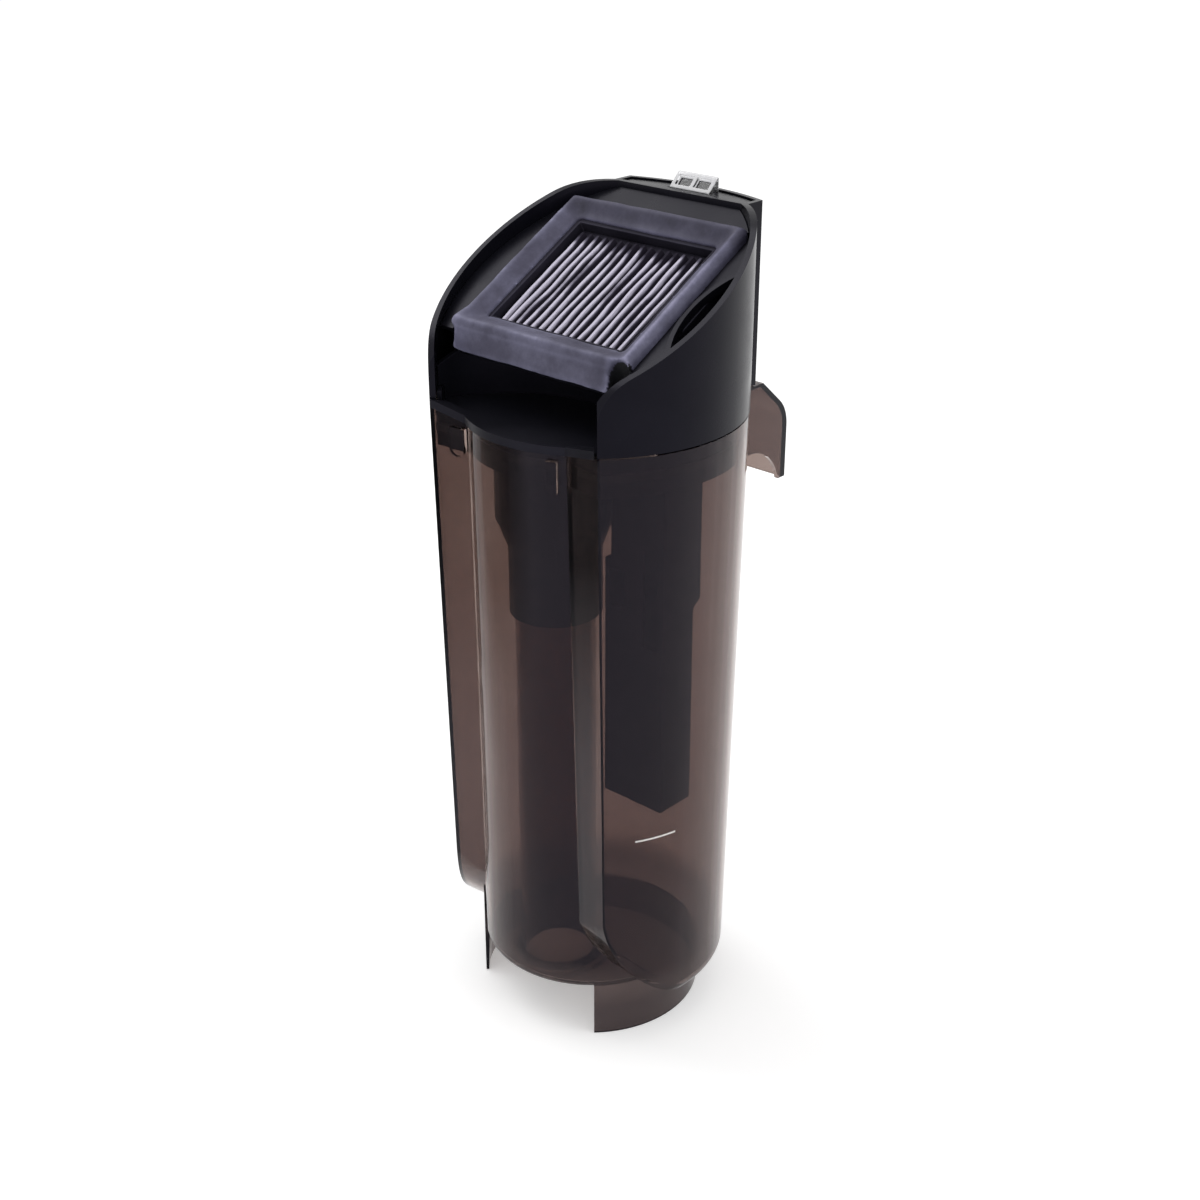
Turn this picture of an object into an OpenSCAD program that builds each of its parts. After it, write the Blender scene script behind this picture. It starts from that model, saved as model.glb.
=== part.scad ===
// Dust bin assembly of an upright bagless vacuum cleaner, in millimetres.
// +Z is up, -Y is the open front. The bin's own axis stands at y = axis_y.

/* [Dust bin] */
// Outer radius of the bin wall at the seam
bin_r = 76; // [70:0.5:84]
// Outer radius of the bin wall at its floor
bin_foot_r = 71; // [66:0.5:76]
// Wall thickness of the moulded bin
bin_wall = 2.4; // [1.8:0.1:3]
// Turn of each side's heel towards the lobe in degrees
heel_turn = 5; // [0:0.5:6]
// Height of the seam between the bin and its lid
seam_z = 326.5; // [300:0.5:350]
// Height of the bin floor's underside
bin_floor_z = 21.5; // [18:0.5:24]
// Radius of the swept heel under the front of the side walls
heel_r = 62; // [50:1:70]
// Radius between the floor and the wall
bin_corner_r = 8; // [5:0.5:12]

/* [Front lobe] */
// Outer radius of the front lobe at the seam
lobe_r = 59.8; // [56:0.2:63]
// Outer radius of the front lobe at its floor
lobe_foot_r = 56.8; // [54:0.2:59]
// Height of the lobe floor's underside
lobe_floor_z = 27.7; // [26:0.1:32]
// Radius between the lobe's floor and its wall
lobe_corner_r = 4; // [3:0.5:8]
// Half angle of the open front, from the axis to each wall tip
front_angle = 45; // [42:0.1:48]
// Half angle where the front panels meet the lobe
panel_angle = 32.2; // [30:0.1:36]
// Draft of the front panels in degrees
panel_draft = 1.1; // [0:0.1:1.2]
// Depth by which the lobe's rim lies below the seam
rim_drop = 4.3; // [2:0.1:5]

/* [Foot skirt] */
// Outer radius of the foot skirt
skirt_r = 58; // [56:0.5:61]
// Skirt thickness at its root
skirt_root_t = 3.6; // [2.5:0.1:4.5]
// Skirt thickness at its lower edge
skirt_edge_t = 1.6; // [1:0.1:2.2]
// Half angle of the gap in the front of the skirt
skirt_angle = 44; // [40:1:50]

/* [Scoop handle] */
// Width of the scoop handle and of the back cover above it
back_w = 82.8; // [74:0.4:88]
// Depth of the scoop behind the bin wall
scoop_depth = 26; // [22:0.5:32]
// Height of the scoop from the seam to its lower edge
scoop_h = 54.7; // [48:0.5:62]
// Wall thickness of the scoop
scoop_t = 2.2; // [1.8:0.1:3]
// Slope of the scoop's shoulder in degrees
scoop_slope = 41; // [36:1:46]
// Outer bend radius of the scoop's shoulder
scoop_bend_r = 19; // [14:1:22]
// Radius of the arch in the scoop's side walls
arch_r = 25.2; // [20:0.5:28]

/* [Riser tube] */
// Bore radius of the riser tube and of the floor port
riser_bore_r = 18; // [15:0.25:19]
// Wall thickness of the riser tube
riser_wall = 2.2; // [1.6:0.1:2.6]
// Distance of the riser tube in front of the bin's axis
riser_offset = 24.5; // [23:0.5:25]
// Height of the riser tube's upper end
riser_top_z = 288; // [270:1:292]
// Width of the seal ring under the floor port
port_seal_w = 5; // [4:0.5:7]
// Thickness of the seal ring under the floor port
port_seal_t = 3; // [2:0.5:4]

/* [Collar] */
// Wall thickness of the collar
collar_wall = 3; // [2.4:0.1:3.4]
// Width of the shadow gap at the seam
seam_gap = 0.6; // [0.4:0.1:1]
// Height of the straight front edge of each collar tip
tip_h = 15.5; // [8:0.5:20]
// Bend radius at the top of each collar tip
tip_bend_r = 24.6; // [15:0.2:30]
// Slope of the collar's top edge in degrees
rim_slope = 30; // [27:0.5:33]
// Height of the collar's top above the seam
collar_h = 90.9; // [84:0.5:96]
// Bend radius where the top edge turns level
crown_r = 45; // [30:1:55]
// Depth of the pocket between the bin wall's line and the inner flat wall
pocket_d = 13.7; // [12.5:0.1:15]
// Thickness of the inner flat wall
chord_t = 2.7; // [2.2:0.1:3.2]

/* [Back cover] */
// Height of the back cover's crest over the bin wall's line
cover_crest = 6; // [5:0.25:8]
// Radius of the back cover's shallow curve
cover_r = 120; // [100:2:160]
// Thickness of the back cover
cover_t = 2.5; // [2:0.1:3]

/* [Lid base] */
// Thickness of the deck plate
deck_t = 4; // [3:0.1:4.2]
// Height of the locating rim inside the collar
upstand_h = 6.5; // [4:0.5:9]
// Depth of the spigot that plugs into the bin
spigot_h = 15.5; // [13:0.5:20]
// Thickness of the spigot wall
spigot_t = 2.5; // [2.2:0.1:2.8]
// Half width of the air window in the deck
window_half_w = 38; // [30:1:40]
// Height of the gasket band round the spigot
gasket_h = 4; // [3:0.5:5]
// Length of the raised catches under the front rim
catch_h = 14; // [10:0.5:18]
// Depth of the catches' upper ends below the seam
catch_drop = 7; // [6:0.5:10]

/* [Filter seat] */
// Width of the filter's rubber frame
filter_w = 109.2; // [104:0.4:112]
// Length of the filter's rubber frame along the slope
filter_l = 98.3; // [94:0.5:101]
// Thickness of the filter
filter_t = 16; // [13:0.5:17]
// Width of the rubber frame's side members
rubber_w = 10.8; // [9:0.2:12]
// Depth by which the rubber frame falls from its outer edge to its opening
funnel_d = 6; // [3:0.5:7]
// Slope of the filter in degrees
filter_slope = 28.7; // [26:0.1:31]
// Distance of the filter's upper front edge in front of the axis
filter_front = 38.8; // [37:0.2:40]
// Height of the filter's upper front edge above the seam
filter_rise = 39.4; // [38:0.2:44]
// Clearance of the filter in its seat
seat_gap = 0.4; // [0.3:0.1:0.6]
// Depth of the tray's side plates below the filter's top
plate_drop = 6; // [5:0.5:8]
// Thickness of the tray
tray_t = 2.5; // [2:0.1:3]
// Radius of the arched edge of the side port
port_arc_r = 48.5; // [40:0.5:60]
// Distance of the side port's arched edge from the middle
port_x = 58.8; // [58.2:0.2:61]
// Radius of the curved wall behind the front bay
bay_r = 60; // [54:1:64]
// Distance of the bay wall's deepest point behind the axis
bay_depth = 2; // [0:0.5:3]

/* [Pleated filter] */
// Distance from one pleat to the next
pleat_pitch = 4.9; // [4:0.1:6.5]
// Height of the pleats
pleat_h = 4.5; // [3.5:0.5:6.5]
// Thickness of the pleated sheet
pleat_t = 0.7; // [0.5:0.1:1]
// Width of the filter's inner plastic border
cassette_w = 2.4; // [1.8:0.2:3]

/* [Inlet duct] */
// Half length of the inlet chamber along the side of the collar
chamber_half_l = 31; // [27:1:33]
// Gap between the inlet chamber's inner wall and the screen beside it
screen_gap = 1.6; // [0.6:0.2:2.6]
// Distance of the duct's outer face from the bin wall's line
duct_side = 16; // [15:0.5:19]
// Width of the duct from side to side
duct_w = 36.5; // [33:0.5:37]
// Distance of the duct's front face in front of the axis
duct_front = 15; // [13:0.5:16]
// Depth of the duct's upper part from front to back
duct_upper_d = 27; // [25:0.5:30]
// Depth of the duct's lower part from front to back
duct_lower_d = 22.5; // [20:0.5:24]
// Height of the step in the duct's back face
duct_step_z = 240; // [220:1:260]
// Height of the duct's open lower end
duct_mouth_z = 131; // [110:1:150]
// Wall thickness of the inlet ducts
duct_t = 2; // [1.6:0.1:2.4]

/* [Riser hood] */
// Outer radius of the hood over the riser tube
hood_r = 28.6; // [26:0.2:28.8]
// Height of the hood's widest part
hood_h = 44; // [40:1:56]
// Height of the hood's cone below that
hood_cone_h = 16; // [8:1:18]
// Height of the hood's lower end
hood_low_z = 228; // [215:1:240]
// Radial clearance of the hood's sleeve on the riser tube
hood_gap = 0.5; // [0.4:0.05:0.6]

/* [Latch] */
// Width of the clear latch
latch_w = 24.4; // [20:0.4:28]
// Height by which the latch stands above the cover
latch_rise = 6; // [4:0.5:8]
// Travel of the latch
latch_travel = 4; // [3:0.5:5]
// Clearance of the latch in its guide
latch_gap = 0.5; // [0.3:0.1:0.7]
// Mean radius of the latch spring
spring_r = 3; // [2.4:0.1:3.4]
// Turns of the latch spring
spring_turns = 6; // [4:1:9]

/* [Fasteners] */
// Shank radius of the screws
screw_r = 1.45; // [1.2:0.05:1.8]
// Head radius of the screws
screw_head_r = 3; // [2.6:0.1:3.5]
// Head height of the screws
screw_head_t = 1.8; // [1.4:0.1:2]
// Shank length of the screws
screw_l = 9; // [7:0.5:11]
// Shank length of the short screws under the deck
short_screw_l = 5; // [4:0.25:5.5]

/* [Hidden] */
$fn = 96;
big = 400;
smoke = [0.36, 0.31, 0.28, 0.55];
satin_black = [0.10, 0.10, 0.11];
rubber_grey = [0.30, 0.31, 0.36];
steel = [0.62, 0.62, 0.64];

// the bounding box is centred on the origin along Y
scoop_reach = bin_r + scoop_depth;
cover_reach = bin_r + cover_crest;
chord_y = bin_r - pocket_d;
duct_x = bin_r - duct_side;
rim_lip = 1;
front_y = -(lobe_r + rim_lip);
axis_y = -(scoop_reach + front_y) / 2;

// bin
bin_taper = (bin_r - bin_foot_r) / (seam_z - bin_floor_z);
lobe_taper = (lobe_r - lobe_foot_r) / (seam_z - lobe_floor_z);
rim_z = seam_z - rim_drop;
heel_z = bin_floor_z + heel_r;
tip_x = bin_r * sin(front_angle);
tip_y = -bin_r * cos(front_angle);
panel_x = lobe_r * sin(panel_angle);
panel_y = -lobe_r * cos(panel_angle);
panel_slope = (tip_y - panel_y) / (tip_x - panel_x);
rim_x = tip_x + 10;
rim_end_z = rim_z + rim_drop * (rim_x - panel_x) / (tip_x - panel_x);
riser_r = riser_bore_r + riser_wall;
riser_y = -riser_offset;
seal_bore_r = riser_bore_r + 0.6;
back_half = back_w / 2;
scoop_low_z = seam_z - scoop_h;
arch_y = bin_r - 4;

// collar
collar_z = seam_z + seam_gap;
collar_top_z = seam_z + collar_h;
collar_in_r = bin_r - collar_wall;
tip_arc_y = tip_y + tip_bend_r - 0.1;
tip_arc_z = seam_z + tip_h;
line_y = tip_arc_y - tip_bend_r * sin(rim_slope);
line_z = tip_arc_z + tip_bend_r * cos(rim_slope);
crown_y = line_y + crown_r * sin(rim_slope)
    + (collar_top_z - crown_r * (1 - cos(rim_slope)) - line_z) / tan(rim_slope);
crown_z = collar_top_z - crown_r;
chord_back_y = chord_y + chord_t;
inner_half = back_half - cover_t;

// lid base
deck_z = seam_z - deck_t;
deck_gap = 0.35;
seat_z = 0.35;
lip_t = 4;
catch_t = 2.2;
catch_turn = 26;
upstand_t = 2.2;
spigot_inset = bin_wall + 1.1;
gasket_inset = bin_wall + 0.65;
gasket_z = deck_z - 8;
window_y0 = bay_depth + 6;
window_y1 = 46;

// filter and tray
filter_y = -filter_front;
filter_z = seam_z + filter_rise;
seat_floor = -filter_t - 0.3;
frame_in_x = filter_w / 2 - rubber_w;
border = 11.8;
media_x = frame_in_x - cassette_w;
screen_lap = 3;
screen_t = 2;
screen_half = media_x + screen_lap;
media_s0 = border + cassette_w;
media_s1 = filter_l - border - cassette_w;
pleats = floor(2 * media_x / pleat_pitch);
pleat_span = pleats * pleat_pitch;
grid_low = 0.2 - filter_t;
grid_bar = 1.2;
pleat_half = pleat_t / 2 / cos(atan(pleat_h / (pleat_pitch / 2)));
media_top = grid_low + grid_bar + 0.03 + pleat_h + 2 * pleat_half;
tray_r = collar_in_r - 0.3;
seat_half = filter_w / 2 + seat_gap;
bay_y = bay_depth - bay_r;
post_r = 4;
post_ring = collar_in_r - deck_gap - upstand_t - post_r - 0.6;
screen_back_y = filter_y + (media_s1 + screen_lap) * cos(filter_slope)
    + (screen_t + tray_t - seat_floor) * sin(filter_slope);
post_y = screen_back_y + post_r + 1;
post_x = 0.27 * filter_w;
side_posts = [for (y = [-16, 17]) [-sqrt(pow(post_ring, 2) - pow(y, 2)), y]];
rear_posts = [[-post_x, post_y], [post_x, post_y]];
posts = concat(side_posts, rear_posts);

// ducts
chamber_x = seat_half + tray_t + 0.2;
chamber_in_x = screen_half + screen_gap;
chamber_out_r = collar_in_r - 2.6;
duct_in_x = duct_x - duct_w;
duct_flange_t = 2;
duct_screw_x = (duct_in_x + duct_x - duct_t) / 2 + 0.5;
duct_screw_xy = [[duct_screw_x, 7 - duct_front], [duct_screw_x, duct_upper_d - duct_front - 6]];
hood_screw_a = [210, 270, 330];
pass_x0 = chamber_in_x + duct_t + 0.4;
pass_x1 = duct_x - duct_t - 0.4;
pass_y0 = duct_t + 0.4 - duct_front;
pass_y1 = duct_upper_d - duct_front - duct_t - 0.4;
short_screws = concat(duct_screw_xy,
    [for (a = hood_screw_a) [(hood_r - 7) * cos(a), riser_y + (hood_r - 7) * sin(a)]]);
hood_flange_t = 2;

// latch
latch_y0 = chord_back_y + 5.5;
latch_y1 = cover_reach - cover_t - 1.2;
latch_bevel = latch_rise + 0.4;
latch_stem = 17;
latch_ear = 1.2;
latch_half = latch_w / 2;
plate_top_z = collar_top_z - 0.8;
plate_t = 2.4;
guide_top_z = plate_top_z - plate_t;
latch_low_z = collar_top_z - latch_stem;
spring_l = 16;
spring_wire = 0.45;
guide_floor_z = latch_low_z - spring_l - 0.4;
cover_screw_in = 14.4;
cover_screw_z = [seam_z + cover_screw_in, collar_top_z - cover_screw_in];
cover_screw_x = back_half - cover_screw_in;
head_seat = 0.7;

function bin_radius(z) = bin_foot_r + bin_taper * (z - bin_floor_z);
function lobe_radius(z) = lobe_foot_r + lobe_taper * (z - lobe_floor_z);
// points of an arc about (cx, cy), from angle a to angle b
function arc(cx, cy, r, a, b, n) =
    [for (i = [0:n]) [cx + r * cos(a + (b - a) * i / n), cy + r * sin(a + (b - a) * i / n)]];

module at_axis() {
    translate([0, axis_y, 0]) children();
}

// the filter's own frame: x across, y up the slope, z out of its top face
module on_slope() {
    translate([0, filter_y, filter_z]) rotate([filter_slope, 0, 0]) children();
}

// extrudes an outline drawn in (y, z) across the part
module across(w) {
    rotate([90, 0, 90]) translate([0, 0, -w / 2]) linear_extrude(w) children();
}

// wedge that covers the open front
module front_wedge(half_angle) {
    polygon([[0, 0], [-big * sin(half_angle), -big * cos(half_angle)],
        [big * sin(half_angle), -big * cos(half_angle)]]);
}

// the space in front of the two panels, as a plan outline
module front_space(inset) {
    deep_y = panel_y - panel_slope * panel_x + inset;
    translate([0, deep_y])
        polygon([[-big, panel_slope * big], [0, 0], [big, panel_slope * big],
            [big, -2 * big], [-big, -2 * big]]);
}

// plan outline of the bin at the seam, drawn in by inset
module bin_plan(inset) {
    difference() {
        circle(bin_r - inset);
        front_space(inset);
    }
    circle(lobe_r - inset);
}

// side outline of the bin above its swept heel, drawn back from the panel
module heel_outline(inset) {
    translate([-big, heel_z]) square([2 * big, big]);
    translate([heel_r, bin_floor_z + inset]) square([big, heel_r]);
    translate([heel_r, heel_z]) circle(heel_r - inset);
}

// the heel of one side, swept along that side's panel
module heel_side(inset, side) {
    foot_y = tip_y + (seam_z - heel_z) * tan(panel_draft) - 0.2;
    translate([side * tip_x, foot_y, 0]) rotate([0, 0, -side * heel_turn])
        across(2 * big) heel_outline(inset);
}

// solid of the drafted walls, drawn in by inset
module wall_body(inset, top_z) {
    floor_z = bin_floor_z + inset;
    corner_r = bin_corner_r - inset;
    corner_z = floor_z + corner_r;
    intersection() {
        rotate_extrude()
            polygon(concat([[0, floor_z]],
                arc(bin_radius(corner_z) - inset - corner_r, corner_z, corner_r, -90, 0, 6),
                [[bin_radius(top_z) - inset, top_z], [0, top_z]]));
        union() {
            heel_side(inset, -1);
            heel_side(inset, 1);
        }
        translate([0, panel_y, seam_z]) rotate([panel_draft, 0, 0]) translate([0, -panel_y, -big])
            linear_extrude(2 * big) difference() {
                square(4 * big, center = true);
                front_space(inset);
            }
    }
}

// solid of the front lobe, drawn in by inset
module lobe_body(inset, top_z) {
    floor_z = lobe_floor_z + inset;
    corner_r = lobe_corner_r - inset;
    corner_z = floor_z + corner_r;
    rotate_extrude()
        polygon(concat([[0, floor_z]],
            arc(lobe_radius(corner_z) - inset - corner_r, corner_z, corner_r, -90, 0, 4),
            [[lobe_radius(top_z) - inset, top_z], [0, top_z]]));
}

// front view of the rim: low over the lobe, climbing along the panels past the seam
module rim_outline(low, high) {
    polygon([[-rim_x, rim_end_z + low], [-panel_x, rim_z + low], [panel_x, rim_z + low],
        [rim_x, rim_end_z + low], [rim_x, rim_end_z + high], [panel_x, rim_z + high],
        [-panel_x, rim_z + high], [-rim_x, rim_end_z + high]]);
}

// extrudes an outline drawn in (x, z) from the front to the bin's axis
module along_front() {
    rotate([90, 0, 0]) linear_extrude(big) children();
}

module foot_skirt() {
    top_z = heel_z - heel_r / 3;
    difference() {
        rotate_extrude()
            polygon([[skirt_r - skirt_edge_t, 0], [skirt_r, 0], [skirt_r, top_z],
                [skirt_r - skirt_root_t, top_z]]);
        translate([0, 0, -1]) linear_extrude(top_z + 2) front_wedge(skirt_angle);
    }
}

// side outline of the scoop, drawn in by inset
module scoop_outline(inset) {
    turn = 90 - scoop_slope;
    bend_y = scoop_reach - scoop_bend_r;
    bend_z = seam_z - (scoop_reach - bin_r - 5) * tan(scoop_slope)
        - scoop_bend_r * tan(turn / 2);
    r = scoop_bend_r - inset;
    start_y = bend_y + r * cos(turn);
    start_z = bend_z + r * sin(turn);
    top_z = seam_z - inset;
    polygon(concat([[0, scoop_low_z - inset], [0, top_z],
        [start_y - (top_z - start_z) / tan(scoop_slope), top_z]],
        arc(bend_y, bend_z, r, turn, 0, 8), [[scoop_reach - inset, scoop_low_z - inset]]));
}

// plan outline of the back cover and the scoop, with its shallow curve
module back_plan(reach, inset) {
    intersection() {
        translate([0, reach - cover_r]) circle(cover_r - inset);
        translate([inset - back_half, 0]) square([back_w - 2 * inset, big]);
    }
}

module scoop() {
    crest = scoop_reach + cover_r - sqrt(pow(cover_r, 2) - pow(back_half, 2));
    difference() {
        across(back_w) scoop_outline(0);
        across(back_w - 2 * scoop_t) scoop_outline(scoop_t);
        across(big) {
            translate([arch_y, scoop_low_z - 5.8]) circle(arch_r);
            translate([0, scoop_low_z - 1]) square([arch_y, arch_r - 4.8]);
        }
    }
}

module dust_bin() at_axis() color(smoke) {
    seat_r = seal_bore_r + port_seal_w + 0.3;
    difference() {
        union() {
            difference() {
                union() {
                    wall_body(0, seam_z);
                    lobe_body(0, seam_z);
                    foot_skirt();
                    scoop();
                }
                wall_body(bin_wall, seam_z + 1);
                lobe_body(bin_wall, seam_z + 1);
            }
            // catches under the front rim, one on the left panel and one on the lobe
            translate([-panel_x - 5, panel_y + panel_slope * 5, 0]) rotate([0, 0, -atan(panel_slope)])
                catch(9, catch_h, 1.2);
            rotate([0, 0, catch_turn]) translate([0, -lobe_r, 0]) catch(5.4, catch_h + 3, 1);
            // ring that holds the port's seal
            translate([0, riser_y, lobe_floor_z - port_seal_t])
                cylinder(r = seat_r + bin_wall, h = port_seal_t + bin_wall);
        }
        translate([0, riser_y, -1]) cylinder(r = seat_r, h = lobe_floor_z + 1);
        intersection() {
            translate([0, 0, rim_z - 1]) linear_extrude(rim_drop + 5) front_wedge(front_angle - 0.6);
            along_front() rim_outline(0, 2 * rim_drop + 4);
        }
        translate([0, riser_y, 0]) cylinder(r = riser_bore_r, h = lobe_floor_z + bin_wall + 1);
    }
}

module riser_tube() at_axis() color(smoke) {
    low_z = lobe_floor_z + bin_wall;
    translate([0, riser_y, low_z]) difference() {
        cylinder(r = riser_r, h = riser_top_z - low_z);
        translate([0, 0, -1]) cylinder(r = riser_bore_r, h = riser_top_z - low_z + 2);
    }
}

module floor_port_seal() at_axis() color(rubber_grey) {
    translate([0, riser_y, lobe_floor_z]) rotate_extrude()
        polygon([[seal_bore_r, 0], [seal_bore_r, 0.8 - port_seal_t], [seal_bore_r + 1.2, -port_seal_t],
            [seal_bore_r + port_seal_w - 0.8, -port_seal_t], [seal_bore_r + port_seal_w, 0]]);
}

// one raised catch on the outside of the wall, hanging down from the seam and sunk into the wall
module catch(w, h, sunk) {
    translate([0, sunk, seam_z - catch_drop]) rotate([90, 0, 0]) linear_extrude(catch_t + sunk) {
        translate([-w / 2, w / 2 - h]) square([w, h - w / 2]);
        translate([0, w / 2 - h]) circle(w / 2);
    }
}

module lid_base() at_axis() color(satin_black) {
    difference() {
        union() {
            translate([0, 0, deck_z]) linear_extrude(deck_t) {
                intersection() {
                    bin_plan(bin_wall + 0.45);
                    circle(collar_in_r - deck_gap);
                }
            }
            // lip over the front rim, which climbs with it to the tips
            intersection() {
                translate([0, 0, rim_z - 1]) linear_extrude(2 * lip_t + 4) difference() {
                    intersection() {
                        bin_plan(-rim_lip);
                        front_wedge(front_angle - 1);
                    }
                    bin_plan(bin_wall + 2);
                }
                along_front() rim_outline(seat_z, seat_z + lip_t);
            }
            // locating rim inside the collar
            translate([0, 0, seam_z - 0.5]) linear_extrude(upstand_h + 0.5) difference() {
                circle(collar_in_r - deck_gap);
                circle(collar_in_r - deck_gap - upstand_t);
                front_wedge(front_angle + 3);
                translate([-big / 2, chord_y - 0.3]) square(big);
            }
            // spigot with the gasket's groove
            translate([0, 0, deck_z - spigot_h]) linear_extrude(spigot_h + 0.5) difference() {
                bin_plan(spigot_inset);
                bin_plan(spigot_inset + spigot_t);
            }
        }
        translate([0, 0, gasket_z]) linear_extrude(gasket_h) difference() {
            bin_plan(0);
            bin_plan(spigot_inset + spigot_t / 2);
        }
        // air window behind the bay wall
        translate([-window_half_w, window_y0, deck_z - 1])
            cube([2 * window_half_w, window_y1 - window_y0, deck_t + 2]);
        // passage of the inlet duct
        translate([pass_x0, pass_y0, deck_z - 1])
            cube([pass_x1 - pass_x0, pass_y1 - pass_y0, deck_t + 2]);
        for (p = short_screws)
            translate([p[0], p[1], deck_z - 1])
                cylinder(r = screw_r + 0.05, h = short_screw_l - duct_flange_t + 1.3);
        for (p = posts)
            translate([p[0], p[1], deck_z - 1]) cylinder(r = screw_r + 0.2, h = deck_t + 2);
    }
}

module lid_gasket() at_axis() color(rubber_grey) {
    translate([0, 0, gasket_z]) linear_extrude(gasket_h) difference() {
        bin_plan(gasket_inset);
        bin_plan(spigot_inset + spigot_t / 2);
    }
}

// side outline of the collar, with its slanted top edge
module collar_outline() {
    polygon(concat([[-big, collar_z]], [[-big, tip_arc_z]],
        arc(tip_arc_y, tip_arc_z, tip_bend_r, 180, 90 + rim_slope, 10),
        arc(crown_y, crown_z, crown_r, 90 + rim_slope, 90, 8),
        [[big, collar_top_z], [big, collar_z]]));
}

module upper_housing() at_axis() color(satin_black) {
    difference() {
        intersection() {
            across(2 * big) collar_outline();
            translate([0, 0, seam_z]) linear_extrude(collar_h) {
                difference() {
                    circle(bin_r);
                    circle(collar_in_r);
                    front_wedge(front_angle);
                    translate([-inner_half, chord_back_y]) square([2 * inner_half, big]);
                }
                intersection() {
                    circle(bin_r - 0.5);
                    translate([-big, chord_y]) square([2 * big, chord_t]);
                }
            }
        }
    }
    // bosses that take the back cover's screws
    for (x = [-cover_screw_x, cover_screw_x], z = cover_screw_z)
        translate([x, chord_back_y - 0.5, z]) rotate([-90, 0, 0]) difference() {
            cylinder(r = post_r, h = cover_inner_y(cover_screw_x + post_r) - chord_back_y + 0.4);
            translate([0, 0, 1.5]) cylinder(r = screw_r + 0.05, h = big);
        }
}

// inner face of the back cover at x
function cover_inner_y(x) = cover_reach - cover_r + sqrt(pow(cover_r - cover_t, 2) - pow(x, 2));

module back_cover() at_axis() color(satin_black) {
    difference() {
        translate([0, 0, collar_z]) linear_extrude(collar_top_z - collar_z)
            back_plan(cover_reach, 0);
        translate([0, 0, collar_z + cover_t]) linear_extrude(big)
            back_plan(cover_reach, cover_t);
        translate([0, 0, collar_z - 1]) cylinder(r = bin_r + 0.1, h = collar_h + 2);
        for (x = [-cover_screw_x, cover_screw_x], z = cover_screw_z)
            translate([x, 0, z]) rotate([-90, 0, 0]) {
                cylinder(r = screw_r + 0.2, h = big);
                translate([0, 0, cover_inner_y(x) + head_seat]) cylinder(r = screw_head_r + 0.4, h = big);
            }
    }
}

module latch_plate() at_axis() color(satin_black) {
    edge = cover_t + 0.9;
    translate([0, 0, guide_top_z]) linear_extrude(plate_t) difference() {
        back_plan(cover_reach, edge);
        translate([-big, chord_back_y + 0.2 - 2 * big]) square(2 * big);
        difference() {
            circle(bin_r + 0.3);
            translate([-inner_half + 0.3, 0]) square([2 * inner_half - 0.6, big]);
        }
        translate([-latch_half - latch_gap, latch_y0 - latch_gap]) square([latch_w + 2 * latch_gap, big]);
    }
}

module latch_guide() at_axis() color(satin_black) {
    wall = 2.6;
    half = latch_half + latch_ear + latch_gap;
    back_y = cover_inner_y(half + wall) - 0.3;
    translate([0, 0, guide_floor_z - wall]) difference() {
        translate([-half - wall, chord_back_y + 0.1, 0])
            cube([2 * (half + wall), back_y - chord_back_y - 0.1, guide_top_z - guide_floor_z + wall]);
        translate([-half, latch_y0 - latch_gap, wall]) cube([2 * half, big, big]);
    }
}

// least gap between neighbouring turns of the spring, measured on its centre points
spring_line = [for (i = [0:12 * spring_turns]) [spring_r * cos(30 * i), spring_r * sin(30 * i),
    spring_wire + (spring_l - 2 * spring_wire) * i / (12 * spring_turns)]];
spring_gap = min([for (i = [0:12 * (spring_turns - 1)]) norm(spring_line[i + 12] - spring_line[i])])
    - 2 * spring_wire;
echo(spring_gap = spring_gap);

// coil spring as one closed tube with six sides
module coil(r, wire, length, turns) {
    steps = 12 * turns;
    sides = 6;
    rings = [for (i = [0:steps]) let (a = 30 * i, z = wire + (length - 2 * wire) * i / steps)
        for (j = [0:sides - 1]) let (b = 60 * j)
            [(r + wire * cos(b)) * cos(a), (r + wire * cos(b)) * sin(a), z + wire * sin(b)]];
    walls = [for (i = [0:steps - 1], j = [0:sides - 1]) let (k = (j + 1) % sides)
        for (f = [[i * sides + j, (i + 1) * sides + j, (i + 1) * sides + k],
            [i * sides + j, (i + 1) * sides + k, i * sides + k]]) f];
    polyhedron(rings, concat(walls, [[for (j = [0:sides - 1]) j]],
        [[for (j = [sides - 1:-1:0]) steps * sides + j]]));
}

module latch_spring() at_axis() color(steel) {
    translate([0, (latch_y0 + latch_y1) / 2, guide_floor_z + 0.2])
        coil(spring_r, spring_wire, spring_l, spring_turns);
}

module release_latch() at_axis() color([0.85, 0.88, 0.9, 0.5]) {
    top_z = collar_top_z + latch_rise;
    bevel_z = top_z - latch_bevel;
    window_w = (latch_w - 5.6) / 2;
    difference() {
        across(latch_w)
            polygon([[latch_y0, latch_low_z], [latch_y0, bevel_z], [latch_y0 + latch_bevel, top_z],
                [latch_y1, top_z], [latch_y1, latch_low_z]]);
        for (s = [-1, 1])
            translate([s * (window_w / 2 + 0.9), latch_y0 + latch_bevel / 2, bevel_z + latch_bevel / 2])
                rotate([45, 0, 0]) cube([window_w, 5.6, 4], center = true);
    }
    // ears that stop the latch under the plate
    for (s = [-1, 1])
        translate([s * (latch_half + latch_ear / 2 - 0.1), (latch_y0 + latch_y1) / 2,
            (latch_low_z + guide_top_z) / 2 - 0.2])
            cube([latch_ear + 0.2, latch_y1 - latch_y0, guide_top_z - latch_low_z - 0.4], center = true);
}

// outline of the arched side port beside the filter
module port_outline(offset_in) {
    translate([port_x + port_arc_r, 44]) circle(port_arc_r - offset_in);
}

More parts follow.
